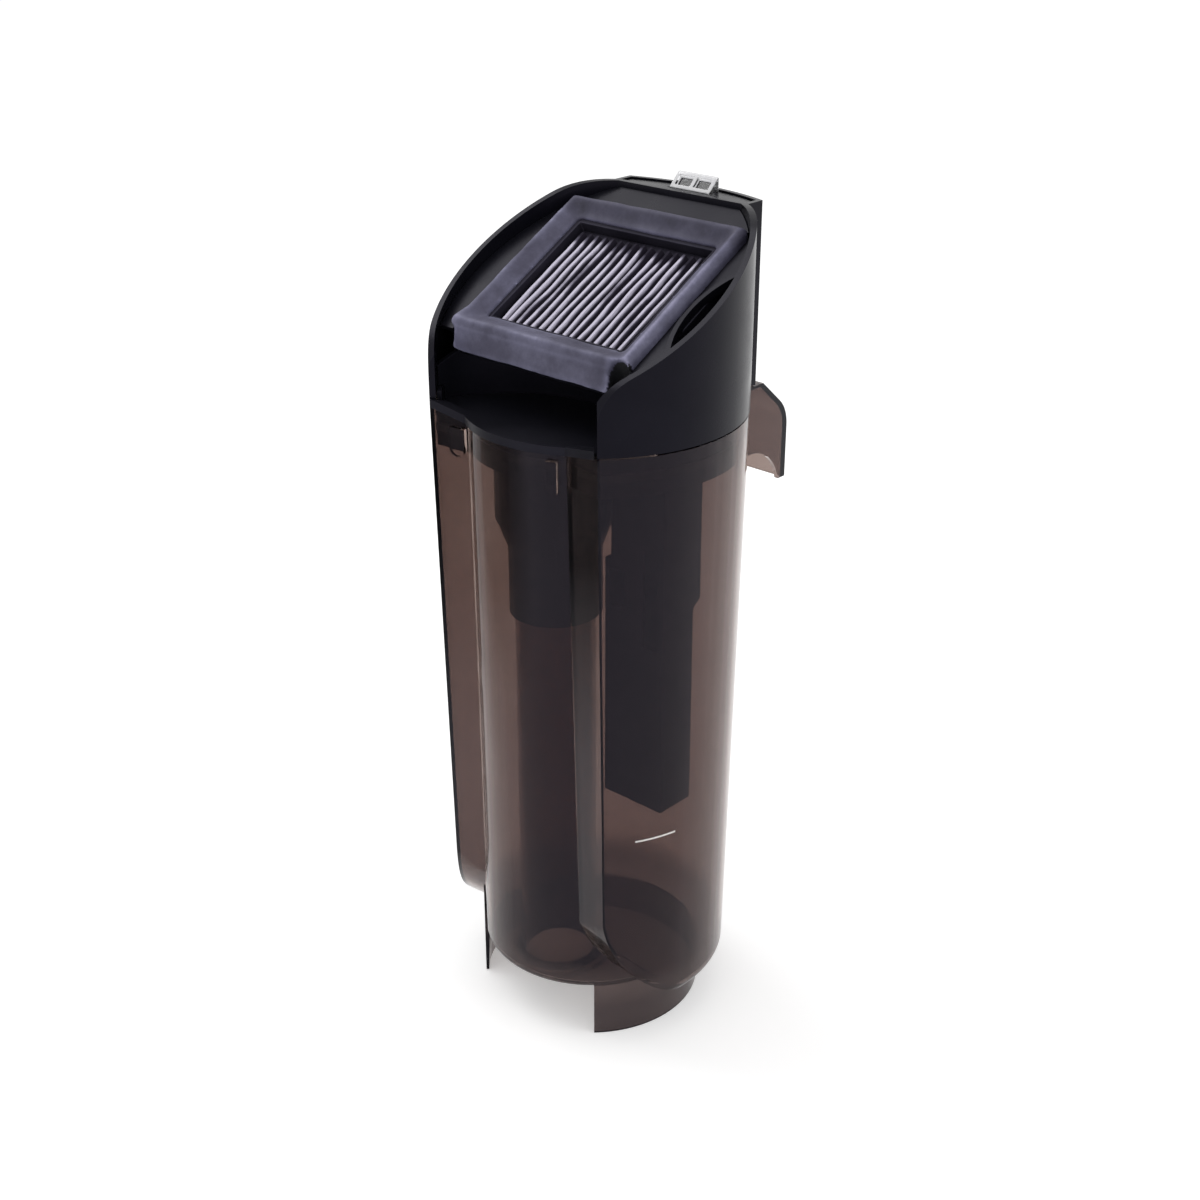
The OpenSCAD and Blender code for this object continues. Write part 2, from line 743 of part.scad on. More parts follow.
// posts that end at height n of the filter's frame
module posts_below(places, n) {
    for (p = places) intersection() {
        translate([p[0], p[1], seam_z]) cylinder(r = post_r, h = collar_h);
        on_slope() translate([-big, -big, n - big]) cube([2 * big, 2 * big, big]);
    }
}

// the curved wall of the front bay, as far out as the given radius
module bay_wall(out_r) {
    linear_extrude(collar_h) difference() {
        intersection() {
            translate([0, bay_y]) circle(bay_r + tray_t);
            circle(out_r);
        }
        translate([0, bay_y]) circle(bay_r);
        translate([-big, -2 * big + tip_y + 3]) square(2 * big);
    }
}

module filter_tray() at_axis() color(satin_black) {
    back_s = (chord_y - filter_y) / cos(filter_slope) + 10;
    difference() {
        union() {
            intersection() {
                on_slope() {
                    difference() {
                        union() {
                            // side and back plates
                            translate([-big / 2, -1, -plate_drop - tray_t])
                                cube([big, back_s, tray_t]);
                            // raised lip round the side port
                            intersection() {
                                translate([0, 0, -plate_drop - tray_t])
                                    linear_extrude(tray_t + 1.4) difference() {
                                        port_outline(-2.4);
                                        port_outline(0);
                                    }
                                translate([chamber_x - 1, 8, -big / 2]) cube([big, 74, big]);
                            }
                            // seat for the filter
                            translate([-seat_half - tray_t, -seat_gap - tray_t, seat_floor - tray_t])
                                cube([2 * (seat_half + tray_t), filter_l + 2 * (seat_gap + tray_t),
                                    -plate_drop - seat_floor + tray_t]);
                        }
                        translate([-seat_half, -seat_gap, seat_floor])
                            cube([2 * seat_half, filter_l + 2 * seat_gap, big]);
                        // the filter's front edge hangs over a low front wall
                        translate([-big / 2, -big / 2, seat_floor + 1.6])
                            cube([big, big / 2, big]);
                        translate([0, 0, -plate_drop - tray_t - 1]) linear_extrude(big)
                            intersection() {
                                port_outline(0);
                                translate([chamber_x, 8]) square([big, 74]);
                            }
                    }
                }
                translate([0, 0, seam_z]) linear_extrude(big) difference() {
                    circle(tray_r);
                    translate([-big, chord_y - 0.2]) square([2 * big, big]);
                }
            }
            // curved wall behind the front bay, up to the tray's floor
            intersection() {
                union() {
                    translate([0, 0, seam_z]) bay_wall(collar_in_r - deck_gap - upstand_t - 0.3);
                    translate([0, 0, seam_z + upstand_h + 0.3]) bay_wall(tray_r);
                }
                on_slope() translate([-big, -big, seat_floor - big - tray_t / 2]) cube([2 * big, 2 * big, big]);
            }
            // posts that stand on the deck
            posts_below(side_posts, -plate_drop - tray_t / 2);
            posts_below(rear_posts, seat_floor - tray_t / 2);
        }
        // air passage under the pleats, behind the bay
        intersection() {
            on_slope() translate([-media_x, media_s0, -big / 2])
                cube([2 * media_x, media_s1 - media_s0, big]);
            translate([0, 0, seam_z]) linear_extrude(big) difference() {
                square(big, center = true);
                translate([0, bay_y]) circle(bay_r + tray_t + 1.5);
            }
        }
        for (p = posts)
            translate([p[0], p[1], seam_z - 1]) cylinder(r = screw_r + 0.05, h = screw_l + 1);
    }
}

module pre_screen() at_axis() color(satin_black) {
    rib = 2.2;
    slots = 11;
    w = 2 * screen_half;
    l = media_s1 - media_s0 + 2 * screen_lap;
    pitch = (w - 2 * rib) / slots;
    difference() {
        on_slope() translate([-w / 2, media_s0 - screen_lap, seat_floor - tray_t - screen_t]) cube([w, l, screen_t]);
        translate([0, bay_y, seam_z]) cylinder(r = bay_r + tray_t + 0.2, h = big);
        difference() {
            on_slope() translate([-w / 2, media_s0 - screen_lap, seat_floor - tray_t - screen_t])
                for (i = [0:slots - 1], j = [0, 1])
                    translate([rib + i * pitch + rib / 2, 4 + j * (l - 4) / 2, -1])
                        cube([pitch - rib, (l - 12) / 2, screen_t + 2]);
            translate([0, bay_y, seam_z]) cylinder(r = bay_r + tray_t + 0.2 + rib, h = big);
        }
    }
}

// the inlet chamber's space, drawn in by inset, under the tray's seat and its side plate
module chamber_body(inset, low) {
    intersection() {
        translate([0, 0, seam_z - low]) linear_extrude(collar_h) difference() {
            intersection() {
                circle(chamber_out_r - inset);
                translate([chamber_in_x + inset, inset - chamber_half_l])
                    square([big, 2 * (chamber_half_l - inset)]);
            }
            translate([0, bay_y]) circle(bay_r + tray_t + 0.3 + inset);
        }
        on_slope() {
            translate([-big, -big, seat_floor - tray_t - 0.2 - inset - big]) cube([2 * big, 2 * big, big]);
            translate([chamber_x + inset, -big, -plate_drop - tray_t - big + low])
                cube([big, 2 * big, big]);
        }
    }
}

module inlet_chamber() at_axis() color(satin_black) {
    difference() {
        chamber_body(0, 0);
        chamber_body(duct_t, 1);
    }
}

// side outline of the inlet duct, drawn in by inset
module duct_outline(inset, low_z, top_z) {
    y0 = inset - duct_front;
    polygon([[y0, low_z], [duct_lower_d - duct_front - inset, low_z],
        [duct_lower_d - duct_front - inset, duct_step_z - (duct_upper_d - duct_lower_d)],
        [duct_upper_d - duct_front - inset, duct_step_z], [duct_upper_d - duct_front - inset, top_z],
        [y0, top_z]]);
}

module inlet_duct() at_axis() color(satin_black) {
    slot_w = 9;
    hood_z = deck_z - hood_h - hood_cone_h - 3;
    difference() {
        translate([duct_x - duct_w / 2, 0, 0]) across(duct_w) duct_outline(0, duct_mouth_z, deck_z);
        difference() {
            translate([duct_x - duct_w / 2, 0, 0]) across(duct_w - 2 * duct_t)
                duct_outline(duct_t, duct_mouth_z - 1, deck_z - duct_flange_t);
            translate([0, riser_y, hood_z - duct_t])
                cylinder(r = hood_r + hood_gap + duct_t, h = big);
        }
        // hollow that clears the riser hood
        translate([0, riser_y, hood_z]) cylinder(r = hood_r + hood_gap, h = big);
        translate([pass_x0, pass_y0, deck_z - duct_flange_t - 1])
            cube([pass_x1 - pass_x0, pass_y1 - pass_y0, duct_flange_t + 2]);
        for (p = duct_screw_xy)
            translate([p[0], p[1], deck_z - duct_flange_t - 1]) cylinder(r = screw_r + 0.2, h = big);
        // relief slots in the front face
        translate([duct_in_x + 3, -duct_front - 1, duct_step_z - 5]) cube([slot_w, duct_t + 2, 20]);
        translate([duct_x - 4 - slot_w, -duct_front - 1, duct_step_z - 21]) cube([slot_w, duct_t + 2, 50]);
    }
}

module riser_hood() at_axis() color(satin_black) {
    sleeve_in = riser_r + hood_gap;
    sleeve_out = sleeve_in + duct_t;
    wide_z = deck_z - hood_h;
    translate([0, riser_y, 0]) difference() {
        rotate_extrude()
            polygon([[sleeve_in, hood_low_z], [sleeve_out, hood_low_z], [sleeve_out, wide_z - hood_cone_h],
                [hood_r, wide_z], [hood_r, deck_z], [0, deck_z], [0, deck_z - hood_flange_t],
                [hood_r - duct_t, deck_z - hood_flange_t], [hood_r - duct_t, wide_z + 0.8],
                [sleeve_in, wide_z - hood_cone_h + 0.8]]);
        // outlet into the bin, at the back
        translate([-hood_r * 0.6, 0, wide_z + 6])
            cube([hood_r * 1.2, big, hood_h - 6 - hood_flange_t - 4]);
        for (a = hood_screw_a)
            translate([(hood_r - 7) * cos(a), (hood_r - 7) * sin(a), deck_z - hood_flange_t - 1])
                cylinder(r = screw_r + 0.2, h = hood_flange_t + 2);
    }
}

// the hollow of the frame's top, which narrows to its opening
module frame_funnel() {
    rim = 3;
    low_x = frame_in_x - 0.3;
    low_s = border + 0.3;
    hull() {
        translate([-low_x, low_s, -funnel_d - 0.4]) cube([2 * low_x, filter_l - 2 * low_s, 0.1]);
        translate([rim - filter_w / 2, rim, 0.3]) cube([filter_w - 2 * rim, filter_l - 2 * rim, 0.1]);
    }
}

module filter_seal_frame() at_axis() color(rubber_grey) {
    edge_r = 4;
    gap = 0.05;
    difference() {
        union() {
            // block with round edges, trimmed at the back to the collar's round wall
            intersection() {
                on_slope() hull() for (x = [-1, 1], s = [0, 1])
                    translate([x * (filter_w / 2 - edge_r), edge_r + s * (filter_l - 2 * edge_r), -filter_t]) {
                        cylinder(r = edge_r, h = 1, $fn = 32);
                        translate([0, 0, filter_t - edge_r]) sphere(r = edge_r, $fn = 32);
                    }
                cylinder(r = collar_in_r - 0.7, h = big * 2);
            }
            // lip that hangs over the front of the seat
            on_slope() across(filter_w - 6.4) hull() {
                translate([5.65, -6.45]) circle(r = 6, $fn = 32);
                translate([-5.6, -12.4]) circle(r = 1.3, $fn = 32);
            }
        }
        on_slope() {
            translate([-frame_in_x - gap, border - gap, -big / 2])
                cube([2 * (frame_in_x + gap), filter_l - 2 * (border - gap), big]);
            frame_funnel();
        }
    }
}

module filter_cassette() at_axis() color(satin_black) {
    h = filter_t - funnel_d - 0.8;
    on_slope() translate([0, 0, -filter_t]) difference() {
        translate([-frame_in_x, border, 0]) cube([2 * frame_in_x, filter_l - 2 * border, h]);
        translate([-media_x, media_s0, -1]) cube([2 * media_x, media_s1 - media_s0, h + 2]);
    }
}

// the folded sheet, pleats running up the slope
module pleated_media() at_axis() color([0.9, 0.9, 0.93]) {
    zig = [for (i = [0:2 * pleats]) [-pleat_span / 2 + i * pleat_pitch / 2, i % 2 == 0 ? -pleat_h : 0]];
    n = 2 * pleats;
    on_slope() translate([0, media_s1 - 0.1, media_top - pleat_half]) rotate([90, 0, 0])
        linear_extrude(media_s1 - media_s0 - 0.2)
            polygon(concat([for (p = zig) [p[0], p[1] + pleat_half]],
                [for (i = [n:-1:0]) [zig[i][0], zig[i][1] - pleat_half]]));
}

module media_grid() at_axis() color(satin_black) {
    bar = grid_bar;
    low = grid_low;
    on_slope() {
        for (i = [1:4])
            translate([-media_x + 0.1, media_s0 + i * (media_s1 - media_s0) / 5 - bar / 2, low])
                cube([2 * media_x - 0.2, bar, bar]);
        for (i = [1:3])
            translate([-media_x + i * media_x / 2 - bar / 2, media_s0 + 0.1, low])
                cube([bar, media_s1 - media_s0 - 0.2, bar]);
    }
}

// pan head screw, pointing up, with the head's seat at z = 0
module screw(l) {
    translate([0, 0, -screw_head_t]) cylinder(r = screw_head_r, h = screw_head_t);
    cylinder(r = screw_r, h = l);
}

module tray_screws() at_axis() color(steel) {
    for (p = posts) translate([p[0], p[1], deck_z]) screw(screw_l);
}

module cover_screws() at_axis() color(steel) {
    for (x = [-cover_screw_x, cover_screw_x], z = cover_screw_z)
        translate([x, cover_inner_y(x) + head_seat, z]) rotate([90, 0, 0]) screw(screw_l);
}

module duct_screws() at_axis() color(steel) {
    for (p = short_screws) translate([p[0], p[1], deck_z - duct_flange_t]) screw(short_screw_l);
}

dust_bin();
riser_tube();
floor_port_seal();
lid_base();
lid_gasket();
upper_housing();
back_cover();
latch_plate();
latch_guide();
latch_spring();
release_latch();
filter_tray();
pre_screen();
inlet_chamber();
inlet_duct();
riser_hood();
filter_seal_frame();
filter_cassette();
pleated_media();
media_grid();
tray_screws();
cover_screws();
duct_screws();
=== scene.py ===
"""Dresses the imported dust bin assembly: smoked bin, black collar, pleated filter and clear latch."""

import logging
import math
from dataclasses import dataclass, field
from enum import Enum
from typing import Sequence

import bmesh
import bpy
from mathutils import Matrix, Vector, noise


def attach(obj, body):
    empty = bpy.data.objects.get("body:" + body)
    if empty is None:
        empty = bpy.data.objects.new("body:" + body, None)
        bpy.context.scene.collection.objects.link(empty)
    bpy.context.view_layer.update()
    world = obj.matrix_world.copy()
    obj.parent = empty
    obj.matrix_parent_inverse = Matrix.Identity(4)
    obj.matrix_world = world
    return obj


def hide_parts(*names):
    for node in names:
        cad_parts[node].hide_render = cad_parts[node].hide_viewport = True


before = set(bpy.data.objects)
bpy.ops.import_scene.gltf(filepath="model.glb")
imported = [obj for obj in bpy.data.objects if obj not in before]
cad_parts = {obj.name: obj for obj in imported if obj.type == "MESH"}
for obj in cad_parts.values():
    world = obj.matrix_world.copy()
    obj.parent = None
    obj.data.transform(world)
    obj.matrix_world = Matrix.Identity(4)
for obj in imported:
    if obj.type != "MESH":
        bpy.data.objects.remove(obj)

Colour = tuple[float, float, float, float]
WHITE: Colour = (1.0, 1.0, 1.0, 1.0)

log = logging.getLogger("dust_bin")
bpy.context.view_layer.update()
MM = 0.001
# the bin's axis, and the slope that the filter lies on, in millimetres and radians
AXIS_Y = -20.6
SLOPE = math.radians(28.7)
SLOPE_FOOT = Vector((0.0, -38.8 + AXIS_Y, 365.9))
# vertices closer than this many metres are one
WELD = 1e-6
# angles in degrees: up to the first, faces are one plane; over the second, an edge is rounded;
# up to the third, faces are shaded as one
PLANE_ANGLE = 0.4
SHARP_ANGLE = 28.0
BLEND_ANGLE = 50.0
# faces across a rounded edge
ROUND_STEPS = 2


class Body(Enum):
    """The moving bodies of the assembly."""

    BIN = "bin"
    LID = "lid"
    FILTER = "filter"
    LATCH = "latch"


# ------------------------------------------------------------------ helpers


def clamp(value: float) -> float:
    """The value, held between zero and one."""
    return min(1.0, max(0.0, value))


def srgb(code: str) -> Colour:
    """Turn an sRGB hex colour into linear values.

    Args:
        code: Six hex digits.

    Returns:
        Linear red, green and blue, and an alpha of one.
    """
    parts = [int(code[i:i + 2], 16) / 255 for i in (0, 2, 4)]
    lin = [p / 12.92 if p <= 0.04045 else ((p + 0.055) / 1.055) ** 2.4 for p in parts]
    return (lin[0], lin[1], lin[2], 1.0)


def cells(size: float) -> float:
    """The scale of a noise whose cells measure this many millimetres."""
    return 1 / (size * MM)


def add_node(tree: bpy.types.NodeTree, kind: str, settings: dict | None = None,
             values: dict | None = None, stops: Sequence[tuple[float, Colour]] = ()) -> bpy.types.Node:
    """Add a node with its settings, socket values, links and colour stops.

    Args:
        tree: The node tree.
        kind: The node's type name.
        settings: Attributes of the node.
        values: Input name or index to a plain value, or to a socket that is linked.
        stops: Positions and colours of a colour ramp, in order.

    Returns:
        The new node.
    """
    node = tree.nodes.new(kind)
    for key, value in (settings or {}).items():
        setattr(node, key, value)
    for key, value in (values or {}).items():
        if isinstance(value, bpy.types.NodeSocket):
            tree.links.new(value, node.inputs[key])
        else:
            node.inputs[key].default_value = value
    if stops:
        band = node.color_ramp
        while len(band.elements) < len(stops):
            band.elements.new(0.5)
        for element, (place, colour) in zip(band.elements, stops):
            element.position = place
            element.color = colour
    return node


def object_coords(tree: bpy.types.NodeTree, scale: Sequence[float] = (1, 1, 1)) -> bpy.types.NodeSocket:
    """The piece's own coordinates in metres, scaled.

    Args:
        tree: The node tree.
        scale: Scale along each axis.

    Returns:
        The vector's socket.
    """
    source = add_node(tree, "ShaderNodeTexCoord").outputs["Object"]
    return add_node(tree, "ShaderNodeMapping", values={"Vector": source, "Scale": scale}).outputs["Vector"]


def new_material(name: str) -> tuple[bpy.types.Material, bpy.types.NodeTree]:
    """An empty node material.

    Args:
        name: The material's name.

    Returns:
        The material and its cleared tree.
    """
    material = bpy.data.materials.new(name)
    material.use_nodes = True
    material.node_tree.nodes.clear()
    return material, material.node_tree


def let_lamps_through(tree: bpy.types.NodeTree, shader: bpy.types.NodeSocket,
                      tint: Colour) -> bpy.types.NodeSocket:
    """Mix a clear shader so that lamps reach what stands behind it.

    Args:
        tree: The node tree.
        shader: The clear shader's socket.
        tint: What the lamps' light is tinted with on its way.

    Returns:
        The mixed shader's socket.
    """
    window = add_node(tree, "ShaderNodeBsdfTransparent", values={"Color": tint})
    path = add_node(tree, "ShaderNodeLightPath")
    return add_node(tree, "ShaderNodeMixShader", values={
        0: path.outputs["Is Shadow Ray"], 1: shader, 2: window.outputs[0]}).outputs[0]


def looked_at(tree: bpy.types.NodeTree) -> bpy.types.NodeSocket:
    """One where the camera, a reflection or a clear wall looks, and zero where light is gathered.

    Args:
        tree: The node tree.

    Returns:
        The number's socket.
    """
    path = add_node(tree, "ShaderNodeLightPath").outputs
    seen = path["Is Camera Ray"]
    for kind in ("Is Transmission Ray", "Is Glossy Ray"):
        seen = add_node(tree, "ShaderNodeMath", {"operation": "MAXIMUM"}, {0: seen, 1: path[kind]}).outputs[0]
    return seen


def to_slope(x: float, s: float, n: float) -> Vector:
    """A point in the filter's own frame, in millimetres, as a point of the part in metres.

    Args:
        x: Across the filter.
        s: Up the slope from the filter's front edge.
        n: Out of the filter's top face.

    Returns:
        The point in metres.
    """
    turned = Matrix.Rotation(SLOPE, 3, "X") @ Vector((x, s, n))
    return (SLOPE_FOOT + turned) * MM


def along_slope(x: float, s: float, n: float) -> Vector:
    """A step in the filter's own frame, in millimetres, as a step of the part in metres."""
    return to_slope(x, s, n) - to_slope(0, 0, 0)


def from_slope(point: Vector) -> Vector:
    """A point of the part in metres as x, s and n of the filter's frame in millimetres."""
    return Matrix.Rotation(-SLOPE, 3, "X") @ (point / MM - SLOPE_FOOT)


def place_on_slope(bm: bmesh.types.BMesh) -> None:
    """Move a mesh drawn in the filter's frame, in millimetres, to its place.

    Args:
        bm: The mesh.
    """
    for vert in bm.verts:
        vert.co = to_slope(*vert.co)


def new_points(made: list) -> list[bmesh.types.BMVert]:
    """The vertices among what an operator made."""
    return [item for item in made if isinstance(item, bmesh.types.BMVert)]


def steady_normals(mesh: bpy.types.Mesh, sharp: float) -> None:
    """Weigh each corner's normal by face area, so that small roundings don't tilt the broad walls.

    Args:
        mesh: The mesh.
        sharp: Faces that meet at over this angle in degrees aren't blended.
    """
    least = math.cos(math.radians(sharp))
    faces = [(face.normal.copy(), face.normal * face.area) for face in mesh.polygons]
    around: list[list[int]] = [[] for _ in mesh.vertices]
    for face in mesh.polygons:
        for index in face.vertices:
            around[index].append(face.index)
    corners = []
    for face in mesh.polygons:
        own = faces[face.index][0]
        for index in face.vertices:
            near = [faces[i][1] for i in around[index] if faces[i][0].dot(own) > least]
            corners.append(sum(near, Vector()).normalized() if near else own)
    mesh.normals_split_custom_set(corners)


def loose_object(name: str, bm: bmesh.types.BMesh) -> bpy.types.Object:
    """An object that isn't a piece, such as a cutter or a blank.

    Args:
        name: Its name.
        bm: Its mesh, in metres and in place. It is freed.

    Returns:
        The object, linked to the scene.
    """
    mesh = bpy.data.meshes.new(name)
    bm.to_mesh(mesh)
    bm.free()
    obj = bpy.data.objects.new(name, mesh)
    bpy.context.scene.collection.objects.link(obj)
    return obj


def make_piece(name: str, bm: bmesh.types.BMesh, body: Body, material: bpy.types.Material,
               sharp: float = 35.0) -> bpy.types.Object:
    """Turn a finished mesh into a piece that rides on a body.

    Args:
        name: The piece's name.
        bm: The mesh, in metres and in place. It is freed.
        body: The body it rides on.
        material: Its finish.
        sharp: Edges over this angle in degrees stay sharp.

    Returns:
        The object.
    """
    obj = loose_object(name, bm)
    obj.data.shade_smooth()
    obj.data.set_sharp_from_angle(angle=math.radians(sharp))
    obj.data.materials.append(material)
    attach(obj, body.value)
    log.info("%s: %d faces", name, len(obj.data.polygons))
    return obj


def dress_node(node: str, material: bpy.types.Material) -> None:
    """Give a CAD node its finish.

    Args:
        node: The node's name.
        material: Its finish.
    """
    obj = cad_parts[node]
    obj.data.materials.clear()
    obj.data.materials.append(material)
    log.info("%s: dressed as it is", node)


def merged_copy(node: str) -> bmesh.types.BMesh:
    """A copy of a CAD node's mesh with its loose triangles joined.

    Args:
        node: The node's name.

    Returns:
        The joined mesh, in metres.
    """
    bm = bmesh.new()
    bm.from_mesh(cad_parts[node].data)
    bmesh.ops.remove_doubles(bm, verts=bm.verts, dist=WELD)
    return bm


def broken_edges(node: str, radius: float, body: Body,
                 material: bpy.types.Material) -> bpy.types.Object:
    """Stand a copy of a CAD node in its place, with its sharp edges rounded off.

    Args:
        node: The node's name.
        radius: Edge radius in millimetres.
        body: The body it rides on.
        material: Its finish.

    Returns:
        The new piece.
    """
    bm = merged_copy(node)
    bmesh.ops.dissolve_limit(bm, angle_limit=math.radians(PLANE_ANGLE), use_dissolve_boundaries=False,
                             verts=bm.verts, edges=bm.edges, delimit=set())
    # the finishes read which faces are rounded edges, where handling polishes them; the rubber and clear
    # finishes also read painted light from this mark
    worn = bm.faces.layers.float.new("wear_and_painted_light")
    edges = [e for e in bm.edges if e.is_manifold and e.calc_face_angle(0.0) > math.radians(SHARP_ANGLE)]
    rounded = bmesh.ops.bevel(bm, geom=edges, offset=radius * MM, offset_type="OFFSET", affect="EDGES",
                              segments=ROUND_STEPS, profile=0.5, material=-1, clamp_overlap=True)
    for face in rounded["faces"]:
        face[worn] = 1.0
    piece = make_piece(node + "_moulding", bm, body, material)
    steady_normals(piece.data, BLEND_ANGLE)
    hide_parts(node)
    return piece


# ----------------------------------------------------------------- finishes
# Names that end in _mm are real sizes of a pattern in millimetres.


@dataclass(frozen=True)
class SmokedPlastic:
    """Smoked SAN, injection moulded and polished: clear brown and glossy, with painted shade deepening its
    foot.
    """

    name: str = "smoked_san_polished"
    tint: str = "8c7b75"
    # the painted shade of the foot, under the bin
    foot_shade: str = "5c514f"
    worn: str = "978984"
    shadow: str = "bdb5b1"
    gleam: str = "dcd6f0"
    # SAN's own 1.57 would mirror too much of an all white room
    ior: float = 1.30
    scratch_mm: float = 0.5
    scratch_length_mm: float = 167.0
    scratch_rough: float = 0.006
    smear_mm: float = 45.5
    smear_share: float = 0.3
    # heights in millimetres over which the foot's painted shade fades out, and where the floor's dust comes
    # and goes
    foot_from: float = 14.0
    foot_to: float = 46.0
    foot_share: float = 0.6
    dust: float = 0.8
    dust_heights: tuple[float, ...] = (20.0, 26.0, 33.0, 44.0)
    dust_span: float = 100.0

    def build(self) -> bpy.types.Material:
        """Make the finish.

        Returns:
            The material.
        """
        material, tree = new_material(self.name)
        # hairline scratches run mostly up and down; they are drawn coarse enough to show
        fine = object_coords(tree, (cells(self.scratch_mm), cells(self.scratch_mm),
                                    cells(self.scratch_length_mm)))
        lines = add_node(tree, "ShaderNodeTexNoise", values={
            "Vector": fine, "Scale": 1.0, "Detail": 2.0, "Roughness": 0.6}).outputs["Fac"]
        rough = add_node(tree, "ShaderNodeMapRange", values={
            "Value": lines, "From Min": 0.55, "From Max": 0.85, "To Min": 0.0,
            "To Max": self.scratch_rough}).outputs["Result"]
        # painted shade: the foot is tinted darker, standing in for the shade under the bin seen through the
        # wall
        height = add_node(tree, "ShaderNodeSeparateXYZ", values={"Vector": object_coords(tree)}).outputs["Z"]
        depth = add_node(tree, "ShaderNodeMapRange", values={
            "Value": height, "From Min": self.foot_from * MM, "From Max": self.foot_to * MM,
            "To Min": 0.0, "To Max": self.foot_share}).outputs["Result"]
        smear = add_node(tree, "ShaderNodeTexNoise", values={
            "Vector": object_coords(tree), "Scale": cells(self.smear_mm), "Detail": 4.0,
            "Roughness": 0.6}).outputs["Fac"]
        place = add_node(tree, "ShaderNodeMath", {"operation": "MULTIPLY_ADD"}, {
            0: smear, 1: self.smear_share, 2: depth}).outputs[0]
        # the darkest stop is the foot's painted shade
        colour = add_node(tree, "ShaderNodeValToRGB", values={"Fac": place}, stops=[
            (0.15, srgb(self.foot_shade)), (0.72, srgb(self.tint)), (0.9, srgb(self.worn))]).outputs["Color"]
        # fine dust clings to the bin's floor and makes it less clear
        level = add_node(tree, "ShaderNodeMapRange", values={
            "Value": height, "From Min": 0.0, "From Max": self.dust_span * MM}).outputs["Result"]
        dusty = (self.dust, self.dust, self.dust, 1.0)
        places = [at / self.dust_span for at in self.dust_heights]
        clear = add_node(tree, "ShaderNodeValToRGB", values={"Fac": level},
                         stops=list(zip(places, (WHITE, dusty, dusty, WHITE)))).outputs["Color"]
        glass = add_node(tree, "ShaderNodeBsdfPrincipled", values={
            "Base Color": colour, "Roughness": rough, "IOR": self.ior,
            "Specular Tint": srgb(self.gleam), "Transmission Weight": clear})
        mixed = let_lamps_through(tree, glass.outputs[0], srgb(self.shadow))
        add_node(tree, "ShaderNodeOutputMaterial", values={"Surface": mixed})
        return material


@dataclass(frozen=True)
class MouldedBlack:
    """Black ABS from a lightly blasted mould: near black with a low even sheen and fine grain."""

    name: str = "black_abs_satin"
    colour: str = "111116"
    pale: str = "19191f"
    edge: str = "2b2b33"
    edge_share: float = 0.45
    gleam: str = "dad4f2"
    rough: float = 0.38
    rough_below: float = 0.05
    rough_above: float = 0.1
    specular: float = 0.2
    grain: float = 0.03
    grain_mm: float = 0.6
    grain_depth_mm: float = 0.2
    cloud_mm: float = 33.3

    def build(self) -> bpy.types.Material:
        """Make the finish.

        Returns:
            The material.
        """
        material, tree = new_material(self.name)
        where = object_coords(tree)
        pits = add_node(tree, "ShaderNodeTexNoise", values={
            "Vector": where, "Scale": cells(self.grain_mm), "Detail": 2.0}).outputs["Fac"]
        cloud = add_node(tree, "ShaderNodeTexNoise", values={
            "Vector": where, "Scale": cells(self.cloud_mm), "Detail": 5.0, "Roughness": 0.62}).outputs["Fac"]
        rough = add_node(tree, "ShaderNodeMapRange", values={
            "Value": cloud, "From Min": 0.3, "From Max": 0.75, "To Min": self.rough - self.rough_below,
            "To Max": self.rough + self.rough_above}).outputs["Result"]
        wear_and_light = add_node(tree, "ShaderNodeAttribute", {"attribute_name": "wear_and_painted_light"}).outputs["Fac"]
        place = add_node(tree, "ShaderNodeMath", {"operation": "MULTIPLY_ADD"}, {
            0: wear_and_light, 1: self.edge_share, 2: cloud}).outputs[0]
        colour = add_node(tree, "ShaderNodeValToRGB", values={"Fac": place}, stops=[
            (0.35, srgb(self.colour)), (0.8, srgb(self.pale)), (1.0, srgb(self.edge))]).outputs["Color"]
        bump = add_node(tree, "ShaderNodeBump", values={
            "Height": pits, "Strength": self.grain, "Distance": self.grain_depth_mm * MM}).outputs["Normal"]
        shader = add_node(tree, "ShaderNodeBsdfPrincipled", values={
            "Base Color": colour, "Roughness": rough, "Specular IOR Level": self.specular,
            "Specular Tint": srgb(self.gleam), "Normal": bump})
        add_node(tree, "ShaderNodeOutputMaterial", values={"Surface": shader.outputs[0]})
        return material


